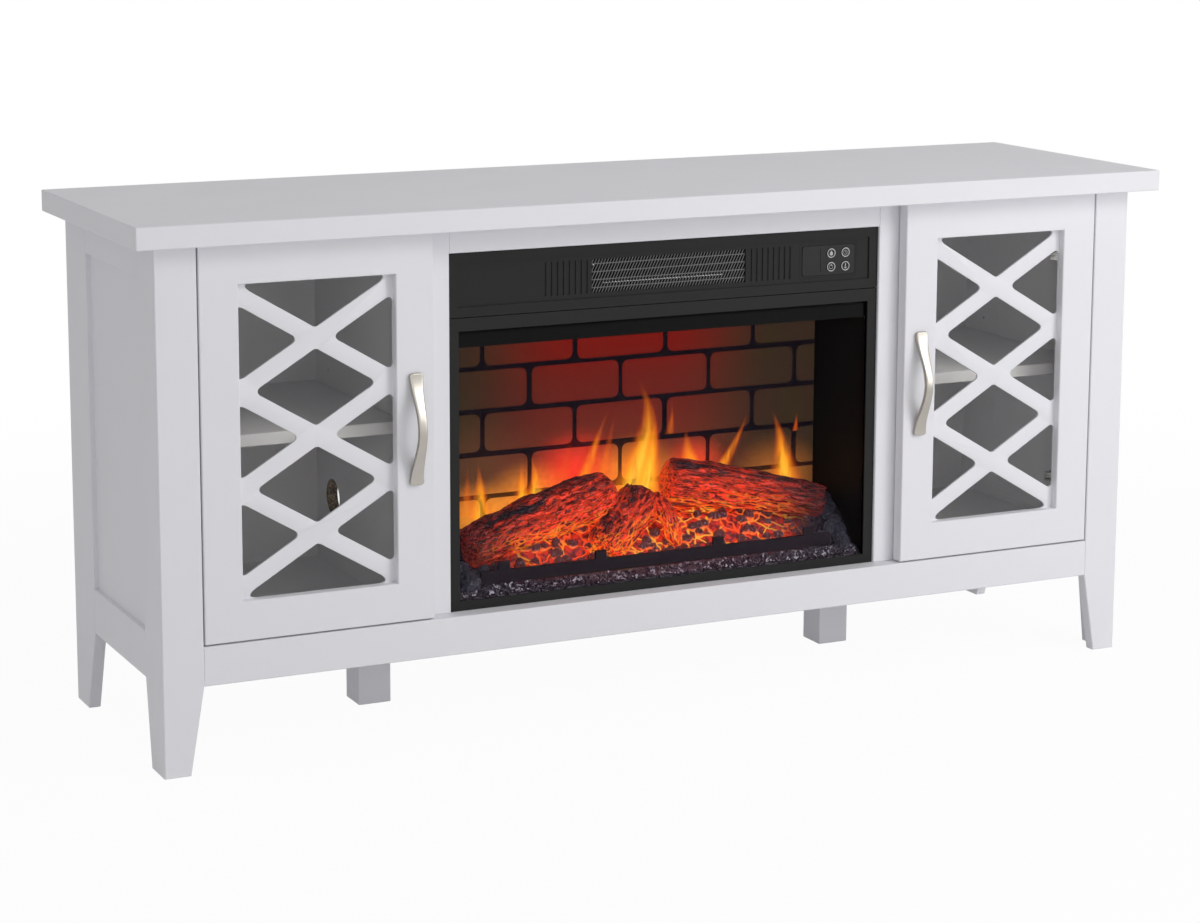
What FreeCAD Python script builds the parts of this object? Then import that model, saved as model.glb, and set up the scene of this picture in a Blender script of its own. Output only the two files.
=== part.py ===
"""Media console with an electric fireplace between two glazed lattice doors.

Sizes are in millimetres. X runs along the front, Y from front to back, and Z up.
The origin lies on the floor under the middle of the top.
"""
import FreeCAD, Part
import math
import os

# Top and carcass
TOP_WIDTH = 1473.0
TOP_DEPTH = 415.0
TOP_THICK = 28.0
HEIGHT = 690.0
OVERHANG = 30.5
BOARD = 16.0
EASED_EDGE = 1.0
BACK_PANEL = 3.0

# Legs, rails and side frames
LEG_WIDTH = 53.0
LEG_FOOT_WIDTH = 34.0
LEG_DEPTH = 70.0
BACK_LEG_DEPTH = 90.0
LEG_FOOT_DEPTH = 52.0
LEG_CLEARANCE = 112.0
RAIL_HEIGHT = 50.0
SIDE_TOP_RAIL = 46.0
SIDE_BOTTOM_RAIL = 60.0
SIDE_RECESS = 7.0
CENTER_FOOT = 46.0
CENTER_FOOT_SETBACK = 192.0

# Surround of the fireplace, dividers and shelves
STILE_WIDTH = 47.0
STILE_SETBACK = 20.5
HEADER_HEIGHT = 34.0
STRETCHER_HEIGHT = 80.0
CABLE_HOLE_RADIUS = 25.0
CABLE_HOLE_RISE = 95.0
CABLE_HOLE_INSET = 64.0
SHELF_RISE = 232.0
SHELF_GAP = 1.0
SHELF_FRONT_GAP = 2.5
PIN_RADIUS = 2.5
PIN_SINK = 7.0
PIN_STAND = 9.0
PIN_CLEARANCE = 0.1
PIN_FRONT_INSET = 45.0
PIN_BACK_INSET = 52.0
PIN_PITCH = 40.0
PIN_ROWS = 3

# Doors
DOOR_THICK = 18.0
DOOR_FRAME = 50.0
DOOR_GAP = 2.2
DOOR_LAP = 16.5
REBATE = 6.0
PANE_GAP = 0.5
LATTICE_SETBACK = 11.0
LATTICE_THICK = 4.0
LATTICE_BAR = 22.0
LATTICE_CELLS = 3
LATTICE_CORNER = 4.5
DOOR_GLASS = 3.0

# Bow handles
HANDLE_LENGTH = 144.0
HANDLE_REACH = 28.0
HANDLE_STRAP = 7.0
HANDLE_TIP = 4.0
HANDLE_FOOT = 16.0
HANDLE_FOOT_WIDTH = 20.0
HANDLE_WAIST = 10.0
HANDLE_EDGE = 1.4
HANDLE_SECTIONS = 17

# Concealed hinges
HINGE_INSET = 90.0
HINGE_STRIP_DEPTH = 46.0
SWING_CLEARANCE = 0.5
CUP_RADIUS = 17.5
CUP_DEPTH = 12.5
CUP_FLOOR = 1.0
CUP_WING_WIDTH = 22.0
CUP_WING_SPAN = 52.0
CUP_WING_THICK = 1.0
CUP_SEAT = 0.1
POCKET_HEIGHT = 14.0
POCKET_OUTER = 13.5
POCKET_INNER = 15.0
PIVOT_OFFSET = 4.0
PIVOT_FROM_BACK = 8.5
HINGE_PIN_RADIUS = 1.25
HINGE_PIN_LENGTH = 20.0
RUNNING_CLEARANCE = 0.05
ARM_HEIGHT = 12.0
ARM_THICK = 3.0
ARM_EYE = 2.5
ARM_CLEARANCE = 1.2
ARM_BENDS = 4
ARM_PLATE_HEIGHT = 34.0
ARM_PLATE_END = 56.0
ARM_PLATE_DEPTH = 24.0
ARM_ANGLE = 130.0

# Fireplace insert
INSERT_WIDTH = 629.2
INSERT_GAP = 0.4
INSERT_SETBACK = 24.5
INSERT_DEPTH = 190.0
SHEET = 2.0
FRAME_DEPTH = 12.0
SEAM = 1.0
WINDOW_SIDE = 14.0
WINDOW_BOTTOM = 12.3
WINDOW_TOP = 17.9
WINDOW_GLASS = 4.0
GLASS_LAP = 7.0

# Fascia with vents and controls
FASCIA_HEIGHT = 83.0
FIELD_MARGIN = 13.0
FIELD_RECESS = 2.0
VENT_HEIGHT = 44.0
MESH_WIDTH = 226.0
MESH_LAP = 4.0
MESH_THICK = 1.5
MESH_COLUMNS = 17
MESH_ROWS = 3
MESH_WIRE = 2.6
MESH_LEAN = 0.45
SLIT_COUNT = 8
SLIT_PITCH = 8.4
SLIT_WIDTH = 3.2
SLIT_DEPTH = 1.2
SLIT_START = 6.0
CONTROL_X = 239.2
CONTROL_WIDTH = 80.4
CONTROL_HEIGHT = 40.0
CONTROL_CORNER = 4.0
CONTROL_GAP = 0.6
CONTROL_PROUD = 0.5
CONTROL_LAP = 3.0
DISPLAY_WIDTH = 24.0
DISPLAY_HEIGHT = 32.0
DISPLAY_SINK = 0.4
BUTTON_RADIUS = 6.4
BUTTON_GAP = 0.2
BUTTON_PROUD = 1.2
BUTTON_TRAVEL = 1.0
BUTTON_COLLAR = 1.4
BUTTON_COLLAR_THICK = 1.2
BUTTON_STEM_SIZE = 4.0
BUTTON_STEM = 3.0
BUTTON_PITCH_X = 22.0
BUTTON_PITCH_Z = 18.5
BUTTON_BLOCK_X = 14.8
SWITCH_SIZE = 6.0
SWITCH_HEIGHT = 3.0
CIRCUIT_BOARD = 1.6
POST_SIZE = 4.0

# Firebox
SCREEN_DEPTH = 142.0
SCREEN_THICK = 3.0
BRICK_LENGTH = 136.0
BRICK_HEIGHT = 58.0
MORTAR = 7.0
MORTAR_DEPTH = 1.2
BRICK_TOP_COURSE = 284.5
BRICK_FIRST_JOINT = 65.8
VALANCE_DROP = 22.0
PARTITION_DROP = 4.0

# Log set, measured from the brick screen and the firebox floor
BED_GAP = 0.5
BED_WALL = 8.0
EMBER_HEIGHT = 72.0
EMBER_CREST = 52.0
GRATE_DISTANCE = 117.0
GRATE_THICK = 4.0
GRATE_SEAT = 22.0
GRATE_SEAT_DEPTH = 8.0
GRATE_END_GAP = 39.0
GRATE_HEIGHT = 18.0
GRATE_TAB_WIDTH = 16.0
GRATE_TAB_HEIGHT = 11.0
GRATE_TAB_INNER = 88.0
GRATE_TAB_OUTER = 228.0
GRAVEL_FALL = 9.0
LOG_SEAT = 0.3
LOG_SIDE_GAP = 28.0
LOG_SWELL = 2.0
LOG_BEND = 4.0
LOG_SECTIONS = 5
LOG_SIDES = 12
BARK_RIDGE = 1.5
LEFT_OUTER_DISTANCE = 86.0
LEFT_OUTER_RISE = 60.0
LEFT_OUTER_RADIUS = 26.0
LEFT_INNER_X = -41.0
LEFT_INNER_DISTANCE = 48.0
LEFT_INNER_RISE = 112.0
LEFT_INNER_RADIUS = 31.0
CENTER_FRONT_X = -14.0
CENTER_FRONT_DISTANCE = 96.0
CENTER_FRONT_RISE = 60.0
CENTER_FRONT_RADIUS = 22.0
CENTER_BACK_X = 6.0
CENTER_BACK_DISTANCE = 44.0
CENTER_BACK_RISE = 98.0
CENTER_BACK_RADIUS = 26.0
RIGHT_INNER_X = 40.0
RIGHT_INNER_DISTANCE = 48.0
RIGHT_INNER_RISE = 121.0
RIGHT_INNER_RADIUS = 30.0
RIGHT_OUTER_DISTANCE = 76.0
RIGHT_OUTER_RISE = 72.0
RIGHT_OUTER_RADIUS = 21.0

# Flame drive and lights
SPINDLE_RISE = 60.0
SPINDLE_ROD = 3.0
SPINDLE_END_GAP = 2.0
VANE_REACH = 11.0
VANE_LENGTH = 30.0
VANE_THICK = 1.0
VANE_COUNT = 12
VANE_TWIST = 50.0
BEARING_RADIUS = 8.0
BEARING_LENGTH = 20.0
MOTOR_SIZE = 30.0
MOTOR_LENGTH = 28.0
MOTOR_SHAFT_DEPTH = 12.0
LIGHT_LENGTH = 480.0
LIGHT_WIDTH = 12.0
LIGHT_DISTANCE = 60.0
LED_COUNT = 12
LED_SIZE = 4.0
LED_HEIGHT = 1.5

# Heater and blower
DUCT_WIDTH = 220.0
DUCT_SHEET = 2.0
BLOWER_SETBACK = 52.0
WHEEL_RADIUS = 21.0
WHEEL_GAP = 4.0
WHEEL_SIDE_GAP = 3.0
WHEEL_DISC = 2.0
WHEEL_BLADES = 16
BLADE_WIDTH = 6.0
BLADE_THICK = 1.0
BLADE_PITCH = 30.0
BLOWER_SHAFT = 3.0
BLOWER_SHAFT_END = 4.0
BLOWER_MOTOR_SIZE = 38.0
BLOWER_MOTOR_LENGTH = 34.0
BLOWER_SHAFT_DEPTH = 20.0
HOUSING_FOOT = 15.0
INTAKE_SLOTS = 4
INTAKE_WIDTH = 36.0
INTAKE_HEIGHT = 14.0
HEATER_DEPTH = 10.0
HEATER_SETBACK = 6.0
HEATER_FINS = 18
HEATER_FIN_GAP = 7.0
HEATER_RIM = 6.0

# Rear of the insert
COVER_SLOTS = 16
COVER_SLOT_WIDTH = 4.0
COVER_SLOT_HEIGHT = 40.0
COVER_SLOT_PITCH = 14.0
COVER_SLOT_DROP = 20.0
INLET_X = -255.0
INLET_VANE_GAP = 5.0
INLET_WIDTH = 28.0
INLET_HEIGHT = 20.0
INLET_DEPTH = 22.0
INLET_FLANGE = 4.0
INLET_GAP = 0.2
INLET_WALL = 2.0
INLET_PIN = 2.0
INLET_PIN_LENGTH = 10.0
INLET_PIN_PITCH = 7.0

# Flat sides of the plain round pieces
LARGE_SIDES = 32
BUTTON_SIDES = 20
SMALL_SIDES = 10

# Main planes of the carcass
SIDE_X = TOP_WIDTH / 2 - OVERHANG
SIDE_IN = SIDE_X - BOARD
LEG_IN = SIDE_X - LEG_WIDTH
FRONT_Y = -TOP_DEPTH / 2 + OVERHANG
BACK_Y = TOP_DEPTH / 2
BACK_IN = BACK_Y - BACK_PANEL
TOP_Z = HEIGHT - TOP_THICK
FLOOR_Z = LEG_CLEARANCE + RAIL_HEIGHT
STILE_Y = FRONT_Y + STILE_SETBACK
OPENING_X = INSERT_WIDTH / 2 + INSERT_GAP
DIVIDER_OUT = OPENING_X + STILE_WIDTH
DIVIDER_IN = DIVIDER_OUT - BOARD
HEADER_Z = TOP_Z - HEADER_HEIGHT
SHELF_Z = FLOOR_Z + SHELF_RISE
SHELF_Y = FRONT_Y + BOARD + HINGE_STRIP_DEPTH + SHELF_FRONT_GAP

# Planes of the right door
PIVOT_IN = (DOOR_FRAME - REBATE) / 2 + PIVOT_OFFSET
PIVOT_DEPTH = DOOR_THICK - PIVOT_FROM_BACK
SWEEP = math.hypot(PIVOT_IN, PIVOT_DEPTH)
HINGE_EDGE = LEG_IN - (SWEEP - PIVOT_IN + SWING_CLEARANCE)
FREE_EDGE = DIVIDER_OUT - DOOR_LAP
DOOR_BACK = FRONT_Y + DOOR_THICK
DOOR_Z0 = FLOOR_Z + DOOR_GAP
DOOR_Z1 = TOP_Z - DOOR_GAP
PIVOT_X = HINGE_EDGE - PIVOT_IN
PIVOT_Y = FRONT_Y + PIVOT_DEPTH
CUP_X = PIVOT_X + PIVOT_OFFSET
HINGE_HEIGHTS = (DOOR_Z0 + HINGE_INSET, DOOR_Z1 - HINGE_INSET)
HANDLE_X = FREE_EDGE + DOOR_FRAME / 2
HANDLE_Z = (DOOR_Z0 + DOOR_Z1) / 2
LATTICE_Y = FRONT_Y + LATTICE_SETBACK

# Planes of the insert
INSERT_X = INSERT_WIDTH / 2
INSERT_Y = FRONT_Y + INSERT_SETBACK
INSERT_Z1 = HEADER_Z - INSERT_GAP
SEAM_Z = INSERT_Z1 - FASCIA_HEIGHT
CASE_Y = INSERT_Y + FRAME_DEPTH
COVER_Y = INSERT_Y + INSERT_DEPTH - SHEET
CASE_FLOOR = FLOOR_Z + SHEET
WINDOW_X = INSERT_X - WINDOW_SIDE
WINDOW_Z0 = FLOOR_Z + WINDOW_BOTTOM
WINDOW_Z1 = SEAM_Z - WINDOW_TOP
GLASS_Y = INSERT_Y + SHEET
FIREBOX_Y = GLASS_Y + WINDOW_GLASS
SCREEN_Y = INSERT_Y + SCREEN_DEPTH
PARTITION_Z = SEAM_Z - PARTITION_DROP
FASCIA_MID = SEAM_Z + FASCIA_HEIGHT / 2
FIELD_Y = INSERT_Y + FIELD_RECESS
MESH_Y = FIELD_Y + SHEET
CONTROL_Y = FIELD_Y - CONTROL_PROUD
CONTROL_BACK = MESH_Y + MESH_THICK
BUTTON_BACK = CONTROL_BACK + BUTTON_GAP + BUTTON_COLLAR_THICK + BUTTON_STEM
SWITCH_Y = BUTTON_BACK + BUTTON_TRAVEL + BUTTON_GAP
CIRCUIT_Y = SWITCH_Y + SWITCH_HEIGHT
DUCT_Y = MESH_Y + MESH_THICK
BLOWER_Y = DUCT_Y + BLOWER_SETBACK
DUCT_RADIUS = WHEEL_RADIUS + WHEEL_GAP
SPINDLE_Y = (SCREEN_Y + SCREEN_THICK + COVER_Y) / 2
SPINDLE_Z = CASE_FLOOR + SPINDLE_RISE
CASE_WALL = INSERT_X - SHEET
INLET_Z = SPINDLE_Z - VANE_REACH - INLET_VANE_GAP - INLET_HEIGHT / 2

TOLERANCE = 0.001


def vec(x, y, z):
    """A point or a direction."""
    return FreeCAD.Vector(x, y, z)


def block(x0, x1, y0, y1, z0, z1):
    """A box between two corners."""
    return Part.makeBox(x1 - x0, y1 - y0, z1 - z0, vec(x0, y0, z0))


def rod(radius, start, along):
    """A cylinder from a start point along a vector."""
    return Part.makeCylinder(radius, along.Length, start, along)


def round_bar(radius, start, along, sides):
    """A round bar of flat sides that touch the radius, for plain pieces and their holes."""
    across = vec(0, 0, 1) if abs(along.z) < TOLERANCE else vec(1, 0, 0)
    level = along.cross(across).normalize()
    reach = radius / math.cos(math.pi / sides)
    corners = []
    for index in range(sides):
        turn = 2 * math.pi * (index + 0.5) / sides
        corners.append(start + across * (reach * math.cos(turn)) + level * (reach * math.sin(turn)))
    return outline(*corners).extrude(along)


def bent_strip(points, thick):
    """The face of a strip of one thickness folded along a line of points."""
    up = vec(0, 0, 1)
    near = []
    far = []
    for index, point in enumerate(points):
        before = points[max(index - 1, 0)]
        after = points[min(index + 1, len(points) - 1)]
        ways = [(b - a).normalize() for a, b in ((before, point), (point, after)) if a.distanceToPoint(b) > 0]
        side = up.cross(ways[0] + ways[-1]).normalize()
        reach = thick / 2 / side.dot(up.cross(ways[0]))
        near.append(point + side * reach)
        far.append(point - side * reach)
    return outline(*(near + far[::-1]))


def outline(*pieces):
    """A face inside a closed outline of points and of arcs given as (start, middle, end)."""
    edges = []
    last = None
    first = None
    for piece in pieces:
        arc = isinstance(piece, tuple)
        start = piece[0] if arc else piece
        if first is None:
            first = start
        if last is not None and last.distanceToPoint(start) > TOLERANCE:
            edges.append(Part.LineSegment(last, start).toShape())
        if arc:
            edges.append(Part.Arc(*piece).toShape())
        last = piece[2] if arc else piece
    if last.distanceToPoint(first) > TOLERANCE:
        edges.append(Part.LineSegment(last, first).toShape())
    return Part.Face(Part.Wire(edges))


def skinned(rings):
    """A solid of flat faces through closed rings of points, with a cap at each end."""
    faces = [Part.Face(Part.makePolygon(ring + ring[:1])) for ring in (rings[0], rings[-1])]
    for lower, upper in zip(rings, rings[1:]):
        for index in range(len(lower)):
            corners = [lower[index - 1], lower[index], upper[index], upper[index - 1]]
            for a, b, c in ((0, 1, 2), (0, 2, 3)):
                faces.append(Part.Face(Part.makePolygon([corners[a], corners[b], corners[c], corners[a]])))
    solid = Part.Solid(Part.Shell(faces)).removeSplitter()
    if solid.Volume < 0:
        solid.reverse()
    return solid


def edges_on(shape, test):
    """The edges of a shape whose ends all pass a test."""
    return [edge for edge in shape.Edges if all(test(vertex.Point) for vertex in edge.Vertexes)]


def eased(shape):
    """A board with all its edges eased."""
    return shape.makeChamfer(EASED_EDGE, shape.Edges)


def eased_front(shape, y):
    """A board with the edges of its front face eased."""
    return shape.makeChamfer(EASED_EDGE, edges_on(shape, lambda point: abs(point.y - y) < TOLERANCE))


def mirrored(shape):
    """The same piece on the left of the cabinet."""
    return shape.mirror(vec(0, 0, 0), vec(1, 0, 0))


def fused(shapes):
    """One solid out of pieces that meet."""
    return shapes[0].fuse(shapes[1:]).removeSplitter()


def pair(shape):
    """A right piece and its left twin in one group."""
    return Part.makeCompound([shape, mirrored(shape)])


# Cabinet boards

def top_panel():
    half = TOP_WIDTH / 2
    return eased(block(-half, half, -TOP_DEPTH / 2, TOP_DEPTH / 2, TOP_Z, HEIGHT))


def front_leg():
    """Two boards glued into an angle, each tapering below its rail."""
    front = outline(
        vec(SIDE_X, FRONT_Y, 0),
        vec(SIDE_X, FRONT_Y, TOP_Z),
        vec(LEG_IN, FRONT_Y, TOP_Z),
        vec(LEG_IN, FRONT_Y, LEG_CLEARANCE),
        vec(SIDE_X - LEG_FOOT_WIDTH, FRONT_Y, 0),
    ).extrude(vec(0, BOARD, 0))
    side = outline(
        vec(SIDE_IN, FRONT_Y, 0),
        vec(SIDE_IN, FRONT_Y, TOP_Z),
        vec(SIDE_IN, FRONT_Y + LEG_DEPTH, TOP_Z),
        vec(SIDE_IN, FRONT_Y + LEG_DEPTH, LEG_CLEARANCE),
        vec(SIDE_IN, FRONT_Y + LEG_FOOT_DEPTH, 0),
    ).extrude(vec(BOARD, 0, 0))
    return eased_front(fused([front, side]), FRONT_Y)


def back_leg():
    """A tapering board, with the rear holes of the shelf pins."""
    board = outline(
        vec(SIDE_IN, BACK_Y, 0),
        vec(SIDE_IN, BACK_Y, TOP_Z),
        vec(SIDE_IN, BACK_Y - BACK_LEG_DEPTH, TOP_Z),
        vec(SIDE_IN, BACK_Y - BACK_LEG_DEPTH, LEG_CLEARANCE),
        vec(SIDE_IN, BACK_Y - LEG_FOOT_DEPTH, 0),
    ).extrude(vec(BOARD, 0, 0))
    return eased(board).cut(pin_holes(SIDE_IN, 1, [BACK_Y - PIN_BACK_INSET]))


def side_rails():
    y0 = FRONT_Y + LEG_DEPTH
    y1 = BACK_Y - BACK_LEG_DEPTH
    upper = block(SIDE_IN, SIDE_X, y0, y1, TOP_Z - SIDE_TOP_RAIL, TOP_Z)
    lower = block(SIDE_IN, SIDE_X, y0, y1, LEG_CLEARANCE, LEG_CLEARANCE + SIDE_BOTTOM_RAIL)
    return Part.makeCompound([eased(upper), eased(lower)])


def side_panel():
    """The thin panel set back between the legs and rails of a side."""
    y0 = FRONT_Y + LEG_DEPTH
    y1 = BACK_Y - BACK_LEG_DEPTH
    z0 = LEG_CLEARANCE + SIDE_BOTTOM_RAIL
    panel = block(SIDE_IN, SIDE_X - SIDE_RECESS, y0, y1, z0, TOP_Z - SIDE_TOP_RAIL)
    return panel.cut(pin_holes(SIDE_IN, 1, [SHELF_Y + PIN_FRONT_INSET]))


def bottom_panel():
    return block(-SIDE_IN, SIDE_IN, FRONT_Y + BOARD, BACK_IN, FLOOR_Z - BOARD, FLOOR_Z)


def front_rail():
    rail = block(-LEG_IN, LEG_IN, FRONT_Y, FRONT_Y + BOARD, LEG_CLEARANCE, FLOOR_Z)
    return eased_front(rail, FRONT_Y)


def divider():
    """The wall between a bay and the fireplace, with its cable hole and shelf pin holes."""
    board = block(DIVIDER_IN, DIVIDER_OUT, STILE_Y + BOARD, BACK_IN, FLOOR_Z, TOP_Z)
    hole_at = vec(DIVIDER_IN, BACK_Y - CABLE_HOLE_INSET, FLOOR_Z + CABLE_HOLE_RISE)
    board = board.cut(round_bar(CABLE_HOLE_RADIUS, hole_at, vec(BOARD, 0, 0), LARGE_SIDES))
    return board.cut(pin_holes(DIVIDER_OUT, -1, [SHELF_Y + PIN_FRONT_INSET, BACK_Y - PIN_BACK_INSET]))


def surround_stile():
    stile = block(OPENING_X, DIVIDER_OUT, STILE_Y, STILE_Y + BOARD, FLOOR_Z, TOP_Z)
    return eased_front(stile, STILE_Y)


def header_rail():
    rail = block(-OPENING_X, OPENING_X, STILE_Y, STILE_Y + BOARD, HEADER_Z, TOP_Z)
    return eased_front(rail, STILE_Y)


def back_panel():
    return block(DIVIDER_IN, SIDE_IN, BACK_IN, BACK_Y, FLOOR_Z - BOARD, TOP_Z)


def back_stretcher():
    """Carries the back of the top across the fireplace."""
    return block(-DIVIDER_IN, DIVIDER_IN, BACK_IN - BOARD, BACK_IN, TOP_Z - STRETCHER_HEIGHT, TOP_Z)


def center_foot():
    """Stands under a divider."""
    middle = (DIVIDER_IN + DIVIDER_OUT) / 2
    y0 = FRONT_Y + CENTER_FOOT_SETBACK
    return eased(block(middle - CENTER_FOOT / 2, middle + CENTER_FOOT / 2, y0, y0 + CENTER_FOOT,
                       0, FLOOR_Z - BOARD))


def shelf():
    board = block(DIVIDER_OUT + SHELF_GAP, SIDE_IN - SHELF_GAP, SHELF_Y, BACK_IN - SHELF_GAP,
                  SHELF_Z, SHELF_Z + BOARD)
    return eased_front(board, SHELF_Y)


def pin_holes(face_x, into, places):
    """Blind holes for shelf pins, in rows above and below the shelf's own."""
    holes = []
    for y in places:
        for row in range(PIN_ROWS):
            z = SHELF_Z - PIN_RADIUS + (row - (PIN_ROWS - 1) / 2) * PIN_PITCH
            holes.append(round_bar(PIN_RADIUS + PIN_CLEARANCE, vec(face_x, y, z), vec(into * PIN_SINK, 0, 0),
                                   SMALL_SIDES))
    return Part.makeCompound(holes)


def shelf_pins():
    """Four pins under each shelf."""
    pins = []
    for y in (SHELF_Y + PIN_FRONT_INSET, BACK_Y - PIN_BACK_INSET):
        z = SHELF_Z - PIN_RADIUS
        length = vec(PIN_SINK + PIN_STAND, 0, 0)
        for x in (DIVIDER_OUT - PIN_SINK, SIDE_IN - PIN_STAND):
            pins.append(round_bar(PIN_RADIUS, vec(x, y, z), length, SMALL_SIDES))
    return pair(Part.makeCompound(pins))


# Doors

OPENING_X0 = FREE_EDGE + DOOR_FRAME
OPENING_X1 = HINGE_EDGE - DOOR_FRAME
OPENING_Z0 = DOOR_Z0 + DOOR_FRAME
OPENING_Z1 = DOOR_Z1 - DOOR_FRAME


def door_frame():
    """Frame of the door, rebated behind for the lattice and glass and drilled for its fittings."""
    frame = block(FREE_EDGE, HINGE_EDGE, FRONT_Y, DOOR_BACK, DOOR_Z0, DOOR_Z1)
    frame = frame.cut(block(OPENING_X0, OPENING_X1, FRONT_Y, DOOR_BACK, OPENING_Z0, OPENING_Z1))
    frame = eased_front(frame, FRONT_Y)
    frame = frame.cut(block(OPENING_X0 - REBATE, OPENING_X1 + REBATE, LATTICE_Y, DOOR_BACK,
                            OPENING_Z0 - REBATE, OPENING_Z1 + REBATE))
    for z in HINGE_HEIGHTS:
        depth = vec(0, -CUP_DEPTH - CUP_SEAT, 0)
        frame = frame.cut(round_bar(CUP_RADIUS + CUP_SEAT, vec(CUP_X, DOOR_BACK, z), depth, LARGE_SIDES))
    return frame


def pane(y, thick):
    """A panel that fills the door's rebate."""
    reach = REBATE - PANE_GAP
    return block(OPENING_X0 - reach, OPENING_X1 + reach, y, y + thick, OPENING_Z0 - reach, OPENING_Z1 + reach)


def bar_rise(half_width, height):
    """Half the upright thickness of a slanting bar, where the crosses just fill the opening."""
    half_bar = LATTICE_BAR / 2
    run = 2 * half_width * LATTICE_CELLS
    a = run ** 2 - 4 * half_bar ** 2
    b = 4 * half_bar ** 2 * height
    c = -half_bar ** 2 * (run ** 2 + height ** 2)
    return (-b + math.sqrt(b ** 2 - 4 * a * c)) / (2 * a)


def rounded_corners(points, radius):
    """The points of a flat outline with each corner replaced by two flats round an arc."""
    rounded = []
    for index, point in enumerate(points):
        back = (points[index - 1] - point).normalize()
        ahead = (points[(index + 1) % len(points)] - point).normalize()
        inward = (back + ahead).normalize()
        half = back.getAngle(inward)
        start = radius / math.tan(half)
        nearest = radius / math.sin(half) - radius
        rounded += [point + back * start, point + inward * nearest, point + ahead * start]
    return rounded


def lattice_light(*corners):
    """The prism cut out between lattice bars, with rounded corners."""
    points = [vec(x, LATTICE_Y, z) for x, z in corners]
    return outline(*rounded_corners(points, LATTICE_CORNER)).extrude(vec(0, LATTICE_THICK, 0))


def door_lattice():
    """Crosses stacked in the opening, cut from one thin panel."""
    half = (OPENING_X1 - OPENING_X0) / 2
    middle = (OPENING_X1 + OPENING_X0) / 2
    rise = bar_rise(half, OPENING_Z1 - OPENING_Z0)
    cell = (OPENING_Z1 - OPENING_Z0 - 2 * rise) / LATTICE_CELLS
    centres = [OPENING_Z0 + rise + cell * (index + 0.5) for index in range(LATTICE_CELLS)]
    lights = [
        lattice_light((middle, centres[0] - rise), (middle + half, OPENING_Z0), (middle - half, OPENING_Z0)),
        lattice_light((middle, centres[-1] + rise), (middle + half, OPENING_Z1), (middle - half, OPENING_Z1)),
    ]
    for z in centres:
        for side in (-1, 1):
            lights.append(lattice_light(
                (middle + side * 2 * half * rise / cell, z),
                (middle + side * half, z + cell / 2 - rise),
                (middle + side * half, z - cell / 2 + rise),
            ))
    for z in centres[:-1]:
        reach = half * (1 - 2 * rise / cell)
        lights.append(lattice_light(
            (middle, z + rise),
            (middle + reach, z + cell / 2),
            (middle, z + cell - rise),
            (middle - reach, z + cell / 2),
        ))
    return pane(LATTICE_Y, LATTICE_THICK).cut(lights)


def door_glass():
    return pane(LATTICE_Y + LATTICE_THICK, DOOR_GLASS)


def bow_depth(reach, half_span, z):
    """How far a bow stands out at a height from its middle, on an arc over its span."""
    radius = (half_span ** 2 + reach ** 2) / (2 * reach)
    drop = radius - math.sqrt(radius ** 2 - min(abs(z), half_span) ** 2)
    return reach - drop


def handle():
    """A bow that is widest at its feet, through level sections with eased corners."""
    half = HANDLE_LENGTH / 2
    inner_reach = HANDLE_REACH - HANDLE_STRAP
    rings = []
    for index in range(HANDLE_SECTIONS):
        z = half * (2 * index / (HANDLE_SECTIONS - 1) - 1)
        out_y = FRONT_Y - HANDLE_TIP - bow_depth(HANDLE_REACH - HANDLE_TIP, half, z)
        in_y = FRONT_Y - bow_depth(inner_reach, half - HANDLE_FOOT, z)
        waist = bow_depth((HANDLE_FOOT_WIDTH - HANDLE_WAIST) / 2, half, z)
        x0 = HANDLE_X - HANDLE_FOOT_WIDTH / 2 + waist
        x1 = HANDLE_X + HANDLE_FOOT_WIDTH / 2 - waist
        rings.append([
            vec(x0 + HANDLE_EDGE, out_y, HANDLE_Z + z),
            vec(x1 - HANDLE_EDGE, out_y, HANDLE_Z + z),
            vec(x1, out_y + HANDLE_EDGE, HANDLE_Z + z),
            vec(x1, in_y - HANDLE_EDGE, HANDLE_Z + z),
            vec(x1 - HANDLE_EDGE, in_y, HANDLE_Z + z),
            vec(x0 + HANDLE_EDGE, in_y, HANDLE_Z + z),
            vec(x0, in_y - HANDLE_EDGE, HANDLE_Z + z),
            vec(x0, out_y + HANDLE_EDGE, HANDLE_Z + z),
        ])
    return skinned(rings)


def hinge_cup(z):
    """A round cup in the back of the door with two screw wings, open behind for its arm."""
    cup = round_bar(CUP_RADIUS, vec(CUP_X, DOOR_BACK - CUP_DEPTH, z), vec(0, CUP_DEPTH, 0), LARGE_SIDES)
    wing = block(CUP_X - CUP_WING_WIDTH / 2, CUP_X + CUP_WING_WIDTH / 2, DOOR_BACK, DOOR_BACK + CUP_WING_THICK,
                 z - CUP_WING_SPAN / 2, z + CUP_WING_SPAN / 2)
    pocket = block(CUP_X - POCKET_INNER, CUP_X + POCKET_OUTER,
                   DOOR_BACK - CUP_DEPTH + CUP_FLOOR, DOOR_BACK + CUP_WING_THICK,
                   z - POCKET_HEIGHT / 2, z + POCKET_HEIGHT / 2)
    bore = round_bar(HINGE_PIN_RADIUS + RUNNING_CLEARANCE, vec(PIVOT_X, PIVOT_Y, z - HINGE_PIN_LENGTH / 2),
                     vec(0, 0, HINGE_PIN_LENGTH), SMALL_SIDES)
    return fused([cup, wing]).cut([pocket, bore])


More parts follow.
